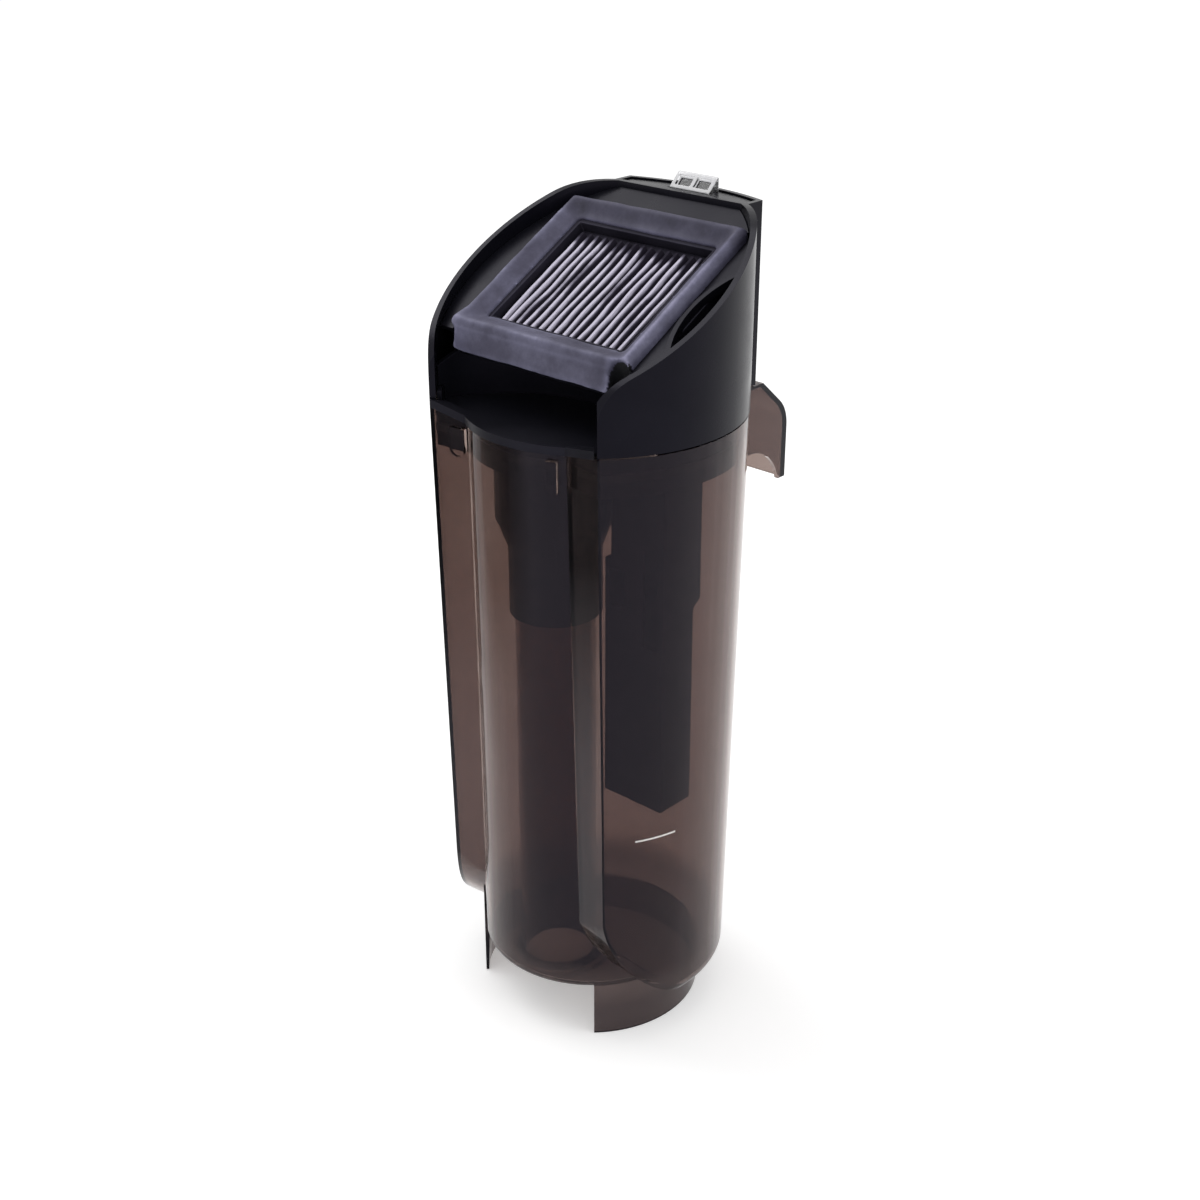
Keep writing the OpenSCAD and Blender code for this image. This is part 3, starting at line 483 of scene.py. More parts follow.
@dataclass(frozen=True)
class SoftRubber:
    """Soft moulded elastomer: matt blue grey with a dry bloom, paler on its high places from rubbing and a
    painted highlight, and darker where painted shade is marked.
    """

    name: str = "grey_elastomer_moulded"
    colour: str = "484659"
    bloom: str = "64637a"
    rubbed: str = "8d8ba6"
    # deep and under are the dark stops that the painted shade of the back bar and of the bite reaches
    deep: str = "383648"
    under: str = "131318"
    wear_and_light_share: float = 0.7
    rough: float = 0.62
    rough_below: float = 0.06
    rough_above: float = 0.1
    specular: float = 0.4
    cloud_mm: float = 23.8
    pore_mm: float = 0.9
    pore_share: float = 0.35
    relief: float = 0.3
    relief_mm: float = 0.6

    def build(self) -> bpy.types.Material:
        """Make the finish.

        Returns:
            The material.
        """
        material, tree = new_material(self.name)
        where = object_coords(tree)
        cloud = add_node(tree, "ShaderNodeTexNoise", values={
            "Vector": where, "Scale": cells(self.cloud_mm), "Detail": 6.0, "Roughness": 0.65}).outputs["Fac"]
        pores = add_node(tree, "ShaderNodeTexNoise", values={
            "Vector": where, "Scale": cells(self.pore_mm), "Detail": 3.0, "Roughness": 0.6}).outputs["Fac"]
        wear_and_light = add_node(tree, "ShaderNodeAttribute", {"attribute_name": "wear_and_painted_light"}).outputs["Fac"]
        place = add_node(tree, "ShaderNodeMath", {"operation": "MULTIPLY_ADD"}, {
            0: wear_and_light, 1: self.wear_and_light_share, 2: cloud}).outputs[0]
        # the lowest stops are reached where painted shade is marked; the high stops show rubbing together
        # with painted light
        colour = add_node(tree, "ShaderNodeValToRGB", values={"Fac": place}, stops=[
            (0.0, srgb(self.under)), (0.3, srgb(self.deep)), (0.52, srgb(self.colour)),
            (0.8, srgb(self.bloom)), (1.0, srgb(self.rubbed))]).outputs["Color"]
        rough = add_node(tree, "ShaderNodeMapRange", values={
            "Value": cloud, "From Min": 0.3, "From Max": 0.7, "To Min": self.rough + self.rough_above,
            "To Max": self.rough - self.rough_below}).outputs["Result"]
        height = add_node(tree, "ShaderNodeMath", {"operation": "MULTIPLY_ADD"}, {
            0: pores, 1: self.pore_share, 2: cloud}).outputs[0]
        bump = add_node(tree, "ShaderNodeBump", values={
            "Height": height, "Strength": self.relief, "Distance": self.relief_mm * MM}).outputs["Normal"]
        shader = add_node(tree, "ShaderNodeBsdfPrincipled", values={
            "Base Color": colour, "Roughness": rough, "Specular IOR Level": self.specular, "Normal": bump})
        add_node(tree, "ShaderNodeOutputMaterial", values={"Surface": shader.outputs[0]})
        return material


@dataclass(frozen=True)
class FilterFleece:
    """Spun polyester filter sheet: off-white and matt, fibrous; its folds are darkened by fine dust and by
    painted shade.
    """

    name: str = "polyester_filter_fleece"
    crest: str = "d0cbdd"
    # painted shade with dust: the flank and fold stops darken the sides and valleys of the folds
    flank: str = "625e6e"
    fold: str = "231f2b"
    rough: float = 0.92
    specular: float = 0.2
    stain_mm: float = 18.2
    stain_share: float = 0.25
    fibre_mm: float = 0.5
    fibre_relief: float = 0.4
    fibre_depth_mm: float = 0.3

    def build(self) -> bpy.types.Material:
        """Make the finish.

        Returns:
            The material.
        """
        material, tree = new_material(self.name)
        where = object_coords(tree)
        # the fibres are drawn much coarser than spun ones, so that they show
        fibre = add_node(tree, "ShaderNodeTexNoise", values={
            "Vector": where, "Scale": cells(self.fibre_mm), "Detail": 4.0, "Roughness": 0.75}).outputs["Fac"]
        stain = add_node(tree, "ShaderNodeTexNoise", values={
            "Vector": where, "Scale": cells(self.stain_mm), "Detail": 5.0, "Roughness": 0.6}).outputs["Fac"]
        # painted shade with dust: depth in the folds, and the crests' painted narrowing, read from the
        # piece's own attribute
        depth = add_node(tree, "ShaderNodeAttribute", {"attribute_name": "fold_shade"}).outputs["Fac"]
        shade = add_node(tree, "ShaderNodeMath", {"operation": "MULTIPLY_ADD"}, {
            0: stain, 1: self.stain_share, 2: depth}).outputs[0]
        # painted shade with dust: the crest stop is the lit sheet, the flank and fold stops its shaded sides
        # and valleys
        colour = add_node(tree, "ShaderNodeValToRGB", values={"Fac": shade}, stops=[
            (0.17, srgb(self.crest)), (0.26, srgb(self.flank)), (0.36, srgb(self.fold))]).outputs["Color"]
        bump = add_node(tree, "ShaderNodeBump", values={
            "Height": fibre, "Strength": self.fibre_relief,
            "Distance": self.fibre_depth_mm * MM}).outputs["Normal"]
        shader = add_node(tree, "ShaderNodeBsdfPrincipled", values={
            "Base Color": colour, "Roughness": self.rough, "Specular IOR Level": self.specular,
            "Normal": bump})
        add_node(tree, "ShaderNodeOutputMaterial", values={"Surface": shader.outputs[0]})
        return material


@dataclass(frozen=True)
class ClearPlastic:
    """Clear polycarbonate, moulded: polished windows in a frosted rim, with handling marks; the frost on the
    rim and on the edges is partly a painted highlight.
    """

    name: str = "clear_polycarbonate"
    dull: str = "eeeef1"
    bright: str = "f8f8fa"
    shadow: str = "f0f0f0"
    ior: float = 1.5
    mark_mm: float = 3.85
    mark_rough: float = 0.004
    frost_rough: float = 0.3
    clear: float = 0.97
    frosted_and_highlit: float = 0.2

    def build(self) -> bpy.types.Material:
        """Make the finish.

        Returns:
            The material.
        """
        material, tree = new_material(self.name)
        marks = add_node(tree, "ShaderNodeTexNoise", values={
            "Vector": object_coords(tree), "Scale": cells(self.mark_mm), "Detail": 4.0}).outputs["Fac"]
        rubbed = add_node(tree, "ShaderNodeMapRange", values={
            "Value": marks, "To Min": 0.0, "To Max": self.mark_rough}).outputs["Result"]
        # frost together with a painted highlight, marked on rounded edges and on the rim's top face
        frost_and_highlight = add_node(tree, "ShaderNodeAttribute", {"attribute_name": "wear_and_painted_light"}).outputs["Fac"]
        rough = add_node(tree, "ShaderNodeMath", {"operation": "MULTIPLY_ADD"}, {
            0: frost_and_highlight, 1: self.frost_rough, 2: rubbed}).outputs[0]
        clear = add_node(tree, "ShaderNodeMapRange", values={
            "Value": frost_and_highlight, "To Min": self.clear, "To Max": self.frosted_and_highlit}).outputs["Result"]
        colour = add_node(tree, "ShaderNodeValToRGB", values={"Fac": marks}, stops=[
            (0.3, srgb(self.dull)), (0.7, srgb(self.bright))]).outputs["Color"]
        glass = add_node(tree, "ShaderNodeBsdfPrincipled", values={
            "Base Color": colour, "Roughness": rough, "IOR": self.ior, "Transmission Weight": clear})
        mixed = let_lamps_through(tree, glass.outputs[0], srgb(self.shadow))
        add_node(tree, "ShaderNodeOutputMaterial", values={"Surface": mixed})
        return material


@dataclass(frozen=True)
class PlatedSteel:
    """Drawn or headed steel with bright zinc: silvery, slightly cloudy."""

    name: str = "zinc_plated_steel"
    colour: str = "b9bab8"
    bright: str = "d6d7d5"
    rough: float = 0.32
    rough_below: float = 0.08
    rough_above: float = 0.14
    cloud_mm: float = 2.38

    def build(self) -> bpy.types.Material:
        """Make the finish.

        Returns:
            The material.
        """
        material, tree = new_material(self.name)
        cloud = add_node(tree, "ShaderNodeTexNoise", values={
            "Vector": object_coords(tree), "Scale": cells(self.cloud_mm), "Detail": 3.0}).outputs["Fac"]
        rough = add_node(tree, "ShaderNodeMapRange", values={
            "Value": cloud, "To Min": self.rough - self.rough_below,
            "To Max": self.rough + self.rough_above}).outputs["Result"]
        colour = add_node(tree, "ShaderNodeValToRGB", values={"Fac": cloud}, stops=[
            (0.3, srgb(self.colour)), (0.8, srgb(self.bright))]).outputs["Color"]
        shader = add_node(tree, "ShaderNodeBsdfPrincipled", values={
            "Base Color": colour, "Roughness": rough, "Metallic": 1.0})
        add_node(tree, "ShaderNodeOutputMaterial", values={"Surface": shader.outputs[0]})
        return material


@dataclass(frozen=True)
class PadPrint:
    """Pad printed ink: thin, off-white and slightly broken."""

    name: str = "white_pad_print"
    thin: str = "b9b6b3"
    full: str = "e6e4e2"
    rough: float = 0.5
    specular: float = 0.3
    speck_mm: float = 0.667

    def build(self) -> bpy.types.Material:
        """Make the finish.

        Returns:
            The material.
        """
        material, tree = new_material(self.name)
        speck = add_node(tree, "ShaderNodeTexNoise", values={
            "Vector": object_coords(tree), "Scale": cells(self.speck_mm), "Detail": 2.0}).outputs["Fac"]
        colour = add_node(tree, "ShaderNodeValToRGB", values={"Fac": speck}, stops=[
            (0.3, srgb(self.thin)), (0.5, srgb(self.full))]).outputs["Color"]
        shader = add_node(tree, "ShaderNodeBsdfPrincipled", values={
            "Base Color": colour, "Roughness": self.rough, "Specular IOR Level": self.specular})
        add_node(tree, "ShaderNodeOutputMaterial", values={"Surface": shader.outputs[0]})
        return material


@dataclass
class Finishes:
    """Every finish of the assembly, built once."""

    smoked: bpy.types.Material = field(default_factory=lambda: SmokedPlastic().build())
    riser: bpy.types.Material = field(default_factory=lambda: SmokedPlastic(
        name="smoked_san_thin", tint="9e8e88", foot_shade="8c7c76", dust=0.9).build())
    black: bpy.types.Material = field(default_factory=lambda: MouldedBlack().build())
    collar: bpy.types.Material = field(default_factory=lambda: MouldedBlack(
        name="black_abs_polished_mould", colour="0b0b10", pale="121218", edge="26262e",
        rough=0.24, specular=0.13, grain=0.06, grain_mm=0.9).build())
    dusty: bpy.types.Material = field(default_factory=lambda: MouldedBlack(
        name="black_abs_dusty", colour="1d1b23", pale="2f2d37", edge="3b3944", rough=0.6,
        specular=0.12, grain_mm=0.8).build())
    gloss: bpy.types.Material = field(default_factory=lambda: MouldedBlack(
        name="black_abs_gloss", colour="0d0d12", pale="16161c", rough=0.3,
        specular=0.14, grain_mm=0.7).build())
    seal: bpy.types.Material = field(default_factory=lambda: SoftRubber(
        name="black_rubber_seal", colour="242428", bloom="303036", rubbed="3a3a41", deep="1a1a1e").build())
    rubber: bpy.types.Material = field(default_factory=lambda: SoftRubber().build())
    fleece: bpy.types.Material = field(default_factory=lambda: FilterFleece().build())
    clear: bpy.types.Material = field(default_factory=lambda: ClearPlastic().build())
    zinc: bpy.types.Material = field(default_factory=lambda: PlatedSteel().build())
    spring: bpy.types.Material = field(default_factory=lambda: PlatedSteel(
        name="spring_steel_wire", colour="a9a9ab", rough=0.22).build())
    ink: bpy.types.Material = field(default_factory=lambda: PadPrint().build())


# -------------------------------------------------------------- assemblies
# Sizes are in millimetres and angles in degrees.


@dataclass
class DustBin:
    """The smoked bin with its riser tube, port seal and level mark."""

    finishes: Finishes
    edge_r: float = 0.3
    wall_top_r: float = 76.0
    wall_foot_r: float = 71.0
    foot_z: float = 21.5
    seam_z: float = 326.5
    mark_z: float = 125.0
    mark_width: float = 0.9
    mark_under: float = 0.02
    mark_over: float = 0.08
    mark_from: float = -30.0
    mark_to: float = -12.6
    mark_steps: int = 16

    def radius(self, z: float) -> float:
        """The wall's outer radius at height z."""
        share = (z - self.foot_z) / (self.seam_z - self.foot_z)
        return self.wall_foot_r + share * (self.wall_top_r - self.wall_foot_r)

    def build(self) -> None:
        """Make and dress every piece of the bin."""
        for node, slot, finish in (("dust_bin", "smoked_clear", self.finishes.smoked),
                                   ("riser_tube", "smoked_clear", self.finishes.riser),
                                   ("floor_port_seal", "seal_rubber", self.finishes.seal)):
            broken_edges(node, self.edge_r, Body.BIN, finish)
        self.level_line()

    def level_line(self) -> None:
        """Print the thin level line on the wall, by turning its section about the bin's axis."""
        low, high = self.mark_z, self.mark_z + self.mark_width
        section = ((self.radius(low) - self.mark_under, low), (self.radius(low) + self.mark_over, low),
                   (self.radius(high) + self.mark_over, high), (self.radius(high) - self.mark_under, high))
        bm = bmesh.new()
        face = bm.faces.new([bm.verts.new((r * MM, 0, z * MM)) for r, z in section])
        bmesh.ops.rotate(bm, verts=bm.verts, cent=(0, 0, 0),
                         matrix=Matrix.Rotation(math.radians(self.mark_from), 3, "Z"))
        bmesh.ops.spin(bm, geom=[face, *face.edges, *face.verts], cent=(0, 0, 0), axis=(0, 0, 1),
                       angle=math.radians(self.mark_to - self.mark_from), steps=self.mark_steps,
                       use_merge=False)
        bmesh.ops.contextual_create(bm, geom=[e for e in bm.edges if e.is_boundary])
        bmesh.ops.recalc_face_normals(bm, faces=bm.faces)
        bmesh.ops.translate(bm, verts=bm.verts, vec=(0, AXIS_Y * MM, 0))
        make_piece("level_line", bm, Body.BIN, self.finishes.ink)


@dataclass
class LidAssembly:
    """The black lid: deck, collar, cover, tray, ducts and screws."""

    finishes: Finishes
    collar_edge_r: float = 0.5
    tray_edge_r: float = 0.4
    inner_edge_r: float = 0.35
    small_edge_r: float = 0.3
    collar_nodes: tuple[str, ...] = ("upper_housing", "back_cover", "latch_plate")
    black_nodes: tuple[str, ...] = ("lid_base", "pre_screen", "inlet_chamber", "riser_hood", "latch_guide")
    screw_nodes: tuple[str, ...] = ("tray_screws", "cover_screws", "duct_screws")

    def build(self) -> None:
        """Make and dress every piece of the lid."""
        for node in self.collar_nodes:
            broken_edges(node, self.collar_edge_r, Body.LID, self.finishes.collar)
        for node in self.black_nodes:
            broken_edges(node, self.inner_edge_r, Body.LID, self.finishes.black)
        broken_edges("inlet_duct", self.inner_edge_r, Body.LID, self.finishes.dusty)
        broken_edges("filter_tray", self.tray_edge_r, Body.LID, self.finishes.gloss)
        broken_edges("lid_gasket", self.small_edge_r, Body.LID, self.finishes.seal)
        dress_node("latch_spring", self.finishes.spring)
        for node in self.screw_nodes:
            broken_edges(node, self.small_edge_r, Body.LID, self.finishes.zinc)


@dataclass
class SealFrame:
    """The filter's soft frame, drawn in its own x across, s up the slope and n out of its top."""

    finishes: Finishes
    width: float = 109.2
    length: float = 98.3
    border: float = 11.8
    member: float = 10.8
    voxel: float = 1.0
    smoothings: int = 4
    smoothing: float = 0.5
    # over this angle an edge stays sharp, so none does
    sharp: float = 180.0
    # the bead round the opening's lip
    lip_n: float = -6.0
    bead_r: float = 0.75
    bead_rise: float = 0.1
    bead_inset: float = 0.2
    bead_sides: int = 12
    # the bite in the front roll: a round end and a mouth that opens to the front
    bite_from_right: float = 4.3
    bite_s: float = -0.6
    bite_r: float = 5.4
    bite_start: float = 40.0
    bite_turn: float = 175.0
    bite_steps: int = 20
    mouth_left: float = 6.5
    mouth_right: float = 9.0
    mouth_s: float = -20.0
    mouth_rise: float = 3.2
    bite_floor: float = -30.0
    bite_height: float = 40.0
    # the skin's waves, the bars' crown and the ear at the left
    wave: float = 0.42
    wave_cell: float = 17.0
    ripple: float = 0.1
    ripple_cell: float = 4.0
    ripple_seed: float = 7.0
    crown: float = 1.6
    crown_from: float = -4.0
    crown_fade: float = 3.0
    ear_width: float = 9.0
    ear_length: float = 12.0
    ear_fade: float = 8.0
    ear_out: float = 2.4
    ear_up: float = 0.8
    # painted light: how much paler the finish gets on bulges, where it is also rubbed, and on the side bars;
    # and painted shade, how much darker on the back bar
    bulge_gain: float = 5.0
    bulge_least: float = 0.15
    bulge_blurs: int = 3
    right_bar_light: float = 0.25
    left_bar_light: float = 0.12
    back_bar_shade: float = -0.25
    bar_fade: float = 3.0
    # painted shade inside the bite, below a plane that leans with the front roll
    bite_shade: float = -0.9
    bite_rim: float = 1.2
    skin_lean: float = 0.87
    skin_s: float = 5.65
    skin_depth: float = 2.0

    def build(self) -> None:
        """The soft frame: one moulding with a beaded lip, round edges and a slightly wavy skin."""
        bm = merged_copy("filter_seal_frame")
        x = self.width / 2 - self.member - self.bead_inset
        low, high = self.border + self.bead_inset, self.length - self.border - self.bead_inset
        corners = ((-x, low), (x, low), (x, high), (-x, high))
        for start, end in zip(corners, corners[1:] + corners[:1]):
            self.bead(bm, start, end)
        bm = self.moulded(loose_object("frame_blank", bm), self.bite_cutter())
        for _ in range(self.smoothings):
            bmesh.ops.smooth_vert(bm, verts=bm.verts, factor=self.smoothing, use_axis_x=True,
                                  use_axis_y=True, use_axis_z=True)
        self.soften(bm)
        self.rub_and_highlight_bulges(bm)
        self.tone_bars(bm)
        piece = make_piece("seal_frame_rubber", bm, Body.FILTER, self.finishes.rubber,
                           sharp=self.sharp)
        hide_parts("filter_seal_frame")

    def bead(self, bm: bmesh.types.BMesh, start: tuple[float, float], end: tuple[float, float]) -> None:
        """Add a round bead at the lip's depth.

        Args:
            bm: The mesh it is added to, in metres.
            start: Its x and s.
            end: The x and s of its other end.
        """
        a = to_slope(*start, self.lip_n + self.bead_rise)
        b = to_slope(*end, self.lip_n + self.bead_rise)
        made = bmesh.ops.create_cone(bm, cap_ends=True, segments=self.bead_sides, radius1=self.bead_r * MM,
                                     radius2=self.bead_r * MM, depth=(b - a).length + self.bead_r * MM)
        turn = (b - a).to_track_quat("Z", "Y").to_matrix().to_4x4()
        bmesh.ops.transform(bm, matrix=Matrix.Translation((a + b) / 2) @ turn, verts=made["verts"])

    def bite_centre(self) -> tuple[float, float]:
        """The x and s of the middle of the bite's round end."""
        return self.width / 2 - self.bite_from_right, self.bite_s

    def bite_cutter(self) -> bpy.types.Object:
        """The cutter for the bite at the right end of the front roll.

        Returns:
            The cutter's object.
        """
        x, s = self.bite_centre()
        turns = [math.radians(self.bite_start + self.bite_turn * i / self.bite_steps)
                 for i in range(self.bite_steps + 1)]
        outline = [(x + self.bite_r * math.cos(turn), s + self.bite_r * math.sin(turn)) for turn in turns]
        outline += [(x - self.mouth_left, self.mouth_s), (x + self.mouth_right, self.mouth_s),
                    (x + self.mouth_right, s + self.mouth_rise)]
        bm = bmesh.new()
        face = bm.faces.new([bm.verts.new((a, b, self.bite_floor)) for a, b in outline])
        top = bmesh.ops.extrude_face_region(bm, geom=[face])["geom"]
        bmesh.ops.translate(bm, verts=new_points(top), vec=(0, 0, self.bite_height))
        bmesh.ops.recalc_face_normals(bm, faces=bm.faces)
        place_on_slope(bm)
        return loose_object("bite_cutter", bm)

    def moulded(self, blank: bpy.types.Object, cutter: bpy.types.Object) -> bmesh.types.BMesh:
        """Melt a blank and its beads into one skin, and take the cutter's shape out of it.

        Args:
            blank: The frame with its beads. It is removed.
            cutter: What is cut away. It is removed.

        Returns:
            The skin, in metres and in place.
        """
        for kind in ("REMESH", "BOOLEAN", "REMESH"):
            step = blank.modifiers.new(kind.lower(), kind)
            if kind == "REMESH":
                step.mode = "VOXEL"
                step.voxel_size = self.voxel * MM
            else:
                step.operation = "DIFFERENCE"
                step.object = cutter
        graph = bpy.context.evaluated_depsgraph_get()
        bm = bmesh.new()
        bm.from_mesh(blank.evaluated_get(graph).to_mesh())
        for obj in (blank, cutter):
            bpy.data.objects.remove(obj)
        return bm

    def soften(self, bm: bmesh.types.BMesh) -> None:
        """Give the skin its waves and crown, and pull the front roll's left end out into an ear.

        Args:
            bm: The frame, in metres and in place.
        """
        bm.normal_update()
        ear_x = self.ear_width - self.width / 2
        for vert in bm.verts:
            x, s, n = from_slope(vert.co)
            wave = self.wave * noise.noise(Vector([a / self.wave_cell for a in (x, s, n)]))
            wave += self.ripple * noise.noise(Vector((x / self.ripple_cell, s / self.ripple_cell,
                                                      n / self.ripple_cell + self.ripple_seed)))
            shift = vert.normal * (wave * MM)
            # the bars are crowned: their top falls off towards both sides
            inner = max(abs(x) - self.width / 2 + self.member, self.border - s, s - self.length + self.border)
            outer = min(self.width / 2 - abs(x), s, self.length - s)
            if n > self.crown_from and inner > 0 and outer > 0:
                side = (inner - outer) / (inner + outer)
                fall = self.crown * side ** 2 * min(1.0, (n - self.crown_from) / self.crown_fade)
                shift += along_slope(0, 0, -fall)
            if s < self.ear_length and x < ear_x:
                pull = (ear_x - x) / self.ear_width * min(1.0, (self.ear_length - s) / self.ear_fade)
                shift += along_slope(-self.ear_out * pull, 0, self.ear_up * pull)
            vert.co += shift

    def rub_and_highlight_bulges(self, bm: bmesh.types.BMesh) -> None:
        """Mark where the skin bulges outwards, for the finish to make paler: rubbing with a painted
        highlight.

        Args:
            bm: The frame, in metres and in place.
        """
        worn = bm.verts.layers.float.new("wear_and_painted_light")
        bm.normal_update()
        for vert in bm.verts:
            dips = [(edge.other_vert(vert).co - vert.co).normalized().dot(vert.normal)
                    for edge in vert.link_edges]
            vert[worn] = clamp(-sum(dips) / max(1, len(dips)) * self.bulge_gain - self.bulge_least)
        for _ in range(self.bulge_blurs):
            blurred = [(vert[worn] + sum(edge.other_vert(vert)[worn] for edge in vert.link_edges))
                       / (1 + len(vert.link_edges)) for vert in bm.verts]
            for vert, value in zip(bm.verts, blurred):
                vert[worn] = value

    def tone_bars(self, bm: bmesh.types.BMesh) -> None:
        """Paint light on the side bars, the right one most, and paint shade on the back bar and in the bite.

        Args:
            bm: The frame, in metres and in place, with its wear marked.
        """
        worn = bm.verts.layers.float["wear_and_painted_light"]
        bite_x, bite_s = self.bite_centre()
        for vert in bm.verts:
            x, s, n = from_slope(vert.co)
            side = clamp((abs(x) - self.width / 2 + self.member + self.bar_fade) / (2 * self.bar_fade))
            back = clamp((s - self.length + self.border + self.bar_fade) / (2 * self.bar_fade))
            # painted light on the side bars, painted shade on the back bar
            bar = self.right_bar_light if x > 0 else self.left_bar_light
            vert[worn] += bar * side * (1 - back) + self.back_bar_shade * back
            # painted shade inside the bite
            near = math.hypot(x - bite_x, s - bite_s) < self.bite_r + self.bite_rim
            if near and n < self.skin_lean * (s - self.skin_s) - self.skin_depth:
                vert[worn] = self.bite_shade


@dataclass(frozen=True)
class Stray:
    """A smooth wander of one size about its mean, over cells of a width and a length."""

    size: float
    width: float
    length: float
    seed: float

    def at(self, across: float, along: float) -> float:
        """The wander at a place, in the units of its width and length."""
        return self.size * noise.noise(Vector((across / self.width, along / self.length, self.seed)))


@dataclass
class PleatedSheet:
    """The folded sheet and the potting at its far end, in the filter's own x, s and n."""

    finishes: Finishes
    half_width: float = 41.4
    start_s: float = 14.4
    end_s: float = 79.8
    pitch: float = 4.9
    fold_h: float = 4.7
    crest_n: float = -9.3
    sheet: float = 0.5
    pleat_steps: int = 14
    length_steps: int = 16
    # a fold's section is a wave, squeezed and cut flat on its crest and in its valley
    squeeze: float = 1.35
    stretch: float = 1.12
    valley: float = 0.03
    # the sheet is held this near its sides, and wanders elsewhere; where a fold's number stands for
    # its place across, a width under one gives each fold its own value
    held: float = 1.0
    wander: Stray = Stray(0.7, 12.0, 26.0, 3.1)
    crest_wander: Stray = Stray(0.45, 1 / 3.7, 12.0, 5.3)
    heave: Stray = Stray(0.5, 1 / 1.9, 22.0, 9.7)
    # painted shade: a wander in the width of each crest's pale band, and the shade that closes over the
    # crests towards the potting
    spread: Stray = Stray(0.15, 1 / 2.3, 30.0, 1.7)
    point_spread: Stray = Stray(0.5, 1 / 5.1, 1.0, 8.8)
    point_along: float = 2.2
    point_length: float = 11.0
    point_shade: float = 0.34
    point_power: float = 1.6
    # the potting: how far it lies under the folds and their crests, and its play in the border
    potting_end_s: float = 84.0
    potting_under: float = 0.5
    potting_below_crest: float = 2.4
    potting_side_play: float = 0.3
    potting_end_play: float = 0.2
    potting_edge_r: float = 0.5
    potting_edge_steps: int = 3

    def build(self) -> None:
        """Fold the sheet: narrow crests and folds that wander a little from pleat to pleat."""
        count = int(2 * self.half_width // self.pitch)
        half = count * self.pitch / 2
        bm = bmesh.new()
        row = [bm.verts.new(self.section(i / self.pleat_steps, half))
               for i in range(count * self.pleat_steps + 1)]
        for a, b in zip(row, row[1:]):
            bm.edges.new((a, b))
        self.draw_out(bm)
        self.disturb(bm, half)
        bmesh.ops.recalc_face_normals(bm, faces=bm.faces)
        bmesh.ops.solidify(bm, geom=bm.faces[:], thickness=self.sheet)
        place_on_slope(bm)
        bmesh.ops.recalc_face_normals(bm, faces=bm.faces)
        piece = make_piece("pleated_sheet", bm, Body.FILTER, self.finishes.fleece)
        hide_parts("pleated_media")
        self.potting()

    def section(self, turn: float, half: float) -> tuple[float, float, float]:
        """A point of the folds' section at the sheet's front end.

        Args:
            turn: How many pleats it is from the left.
            half: Half the width of all pleats.

        Returns:
            Its x, s and n.
        """
        wave = (0.5 - 0.5 * math.cos(2 * math.pi * turn)) ** self.squeeze
        crest = clamp(self.stretch * wave - self.valley)
        return (-half + turn * self.pitch, self.start_s, self.crest_n - self.fold_h * (1 - crest))

    def draw_out(self, bm: bmesh.types.BMesh) -> None:
        """Draw the section up the slope into a sheet.

        Args:
            bm: The section's edges.
        """
        step = (self.end_s - self.start_s) / self.length_steps
        edges = list(bm.edges)
        for _ in range(self.length_steps):
            out = bmesh.ops.extrude_edge_only(bm, edges=edges)["geom"]
            points = new_points(out)
            edges = [g for g in out if isinstance(g, bmesh.types.BMEdge)
                     and all(v in points for v in g.verts)]
            bmesh.ops.translate(bm, verts=points, vec=(0, step, 0))

    def disturb(self, bm: bmesh.types.BMesh, half: float) -> None:
        """Move the folds a little off their pitch, and mark each point's painted shade: its depth in its
        fold, a wander in each crest's width and a point at the potting.

        Args:
            bm: The sheet.
            half: Half the width of all pleats.
        """
        depth = bm.verts.layers.float.new("fold_shade")
        for vert in bm.verts:
            vert[depth] = clamp((self.crest_n - vert.co.z) / self.fold_h)
        for vert in bm.verts:
            x, s = vert.co.x, vert.co.y
            fold = math.floor((x + half) / self.pitch)
            if abs(x) < half - self.held:
                vert.co.x += self.wander.at(x, s)
                vert.co.x += (1 - vert[depth]) * self.crest_wander.at(fold, s)
                vert.co.z += self.heave.at(fold, s)
            # painted shade: each crest's pale band is a slightly different width, and the shade closes over
            # it to a point at the potting
            into = (s - self.end_s + self.point_length) / self.point_length
            point = clamp(into + self.point_spread.at(fold, self.point_along))
            shade = self.spread.at(fold, s) + self.point_shade * point ** self.point_power
            vert[depth] = clamp(vert[depth] + shade)

    def potting(self) -> None:
        """The strip of black potting that holds the folds' far ends."""
        low = self.crest_n - self.fold_h - self.potting_under
        high = self.crest_n - self.potting_below_crest
        size = (2 * self.half_width - self.potting_side_play,
                self.potting_end_s - self.end_s - self.potting_end_play, high - low)
        bm = bmesh.new()
        made = bmesh.ops.create_cube(bm, size=1.0)
        bmesh.ops.scale(bm, verts=made["verts"], vec=size)
        bmesh.ops.translate(bm, verts=made["verts"], vec=(
            0, (self.potting_end_s + self.end_s) / 2, (high + low) / 2))
        bmesh.ops.bevel(bm, geom=bm.edges[:], offset=self.potting_edge_r, offset_type="OFFSET",
                        affect="EDGES", segments=self.potting_edge_steps, profile=0.5, material=-1,
                        clamp_overlap=True)
        place_on_slope(bm)
        make_piece("fold_end_potting", bm, Body.FILTER, self.finishes.dusty)


@dataclass
class FilterPack:
    """The lift-out filter: soft frame, inner border, folded sheet and the bars under it."""

    finishes: Finishes
    edge_r: float = 0.4

    def build(self) -> None:
        """Make and dress every piece of the filter."""
        SealFrame(self.finishes).build()
        PleatedSheet(self.finishes).build()
        broken_edges("filter_cassette", self.edge_r, Body.FILTER, self.finishes.dusty)
        dress_node("media_grid", self.finishes.dusty)


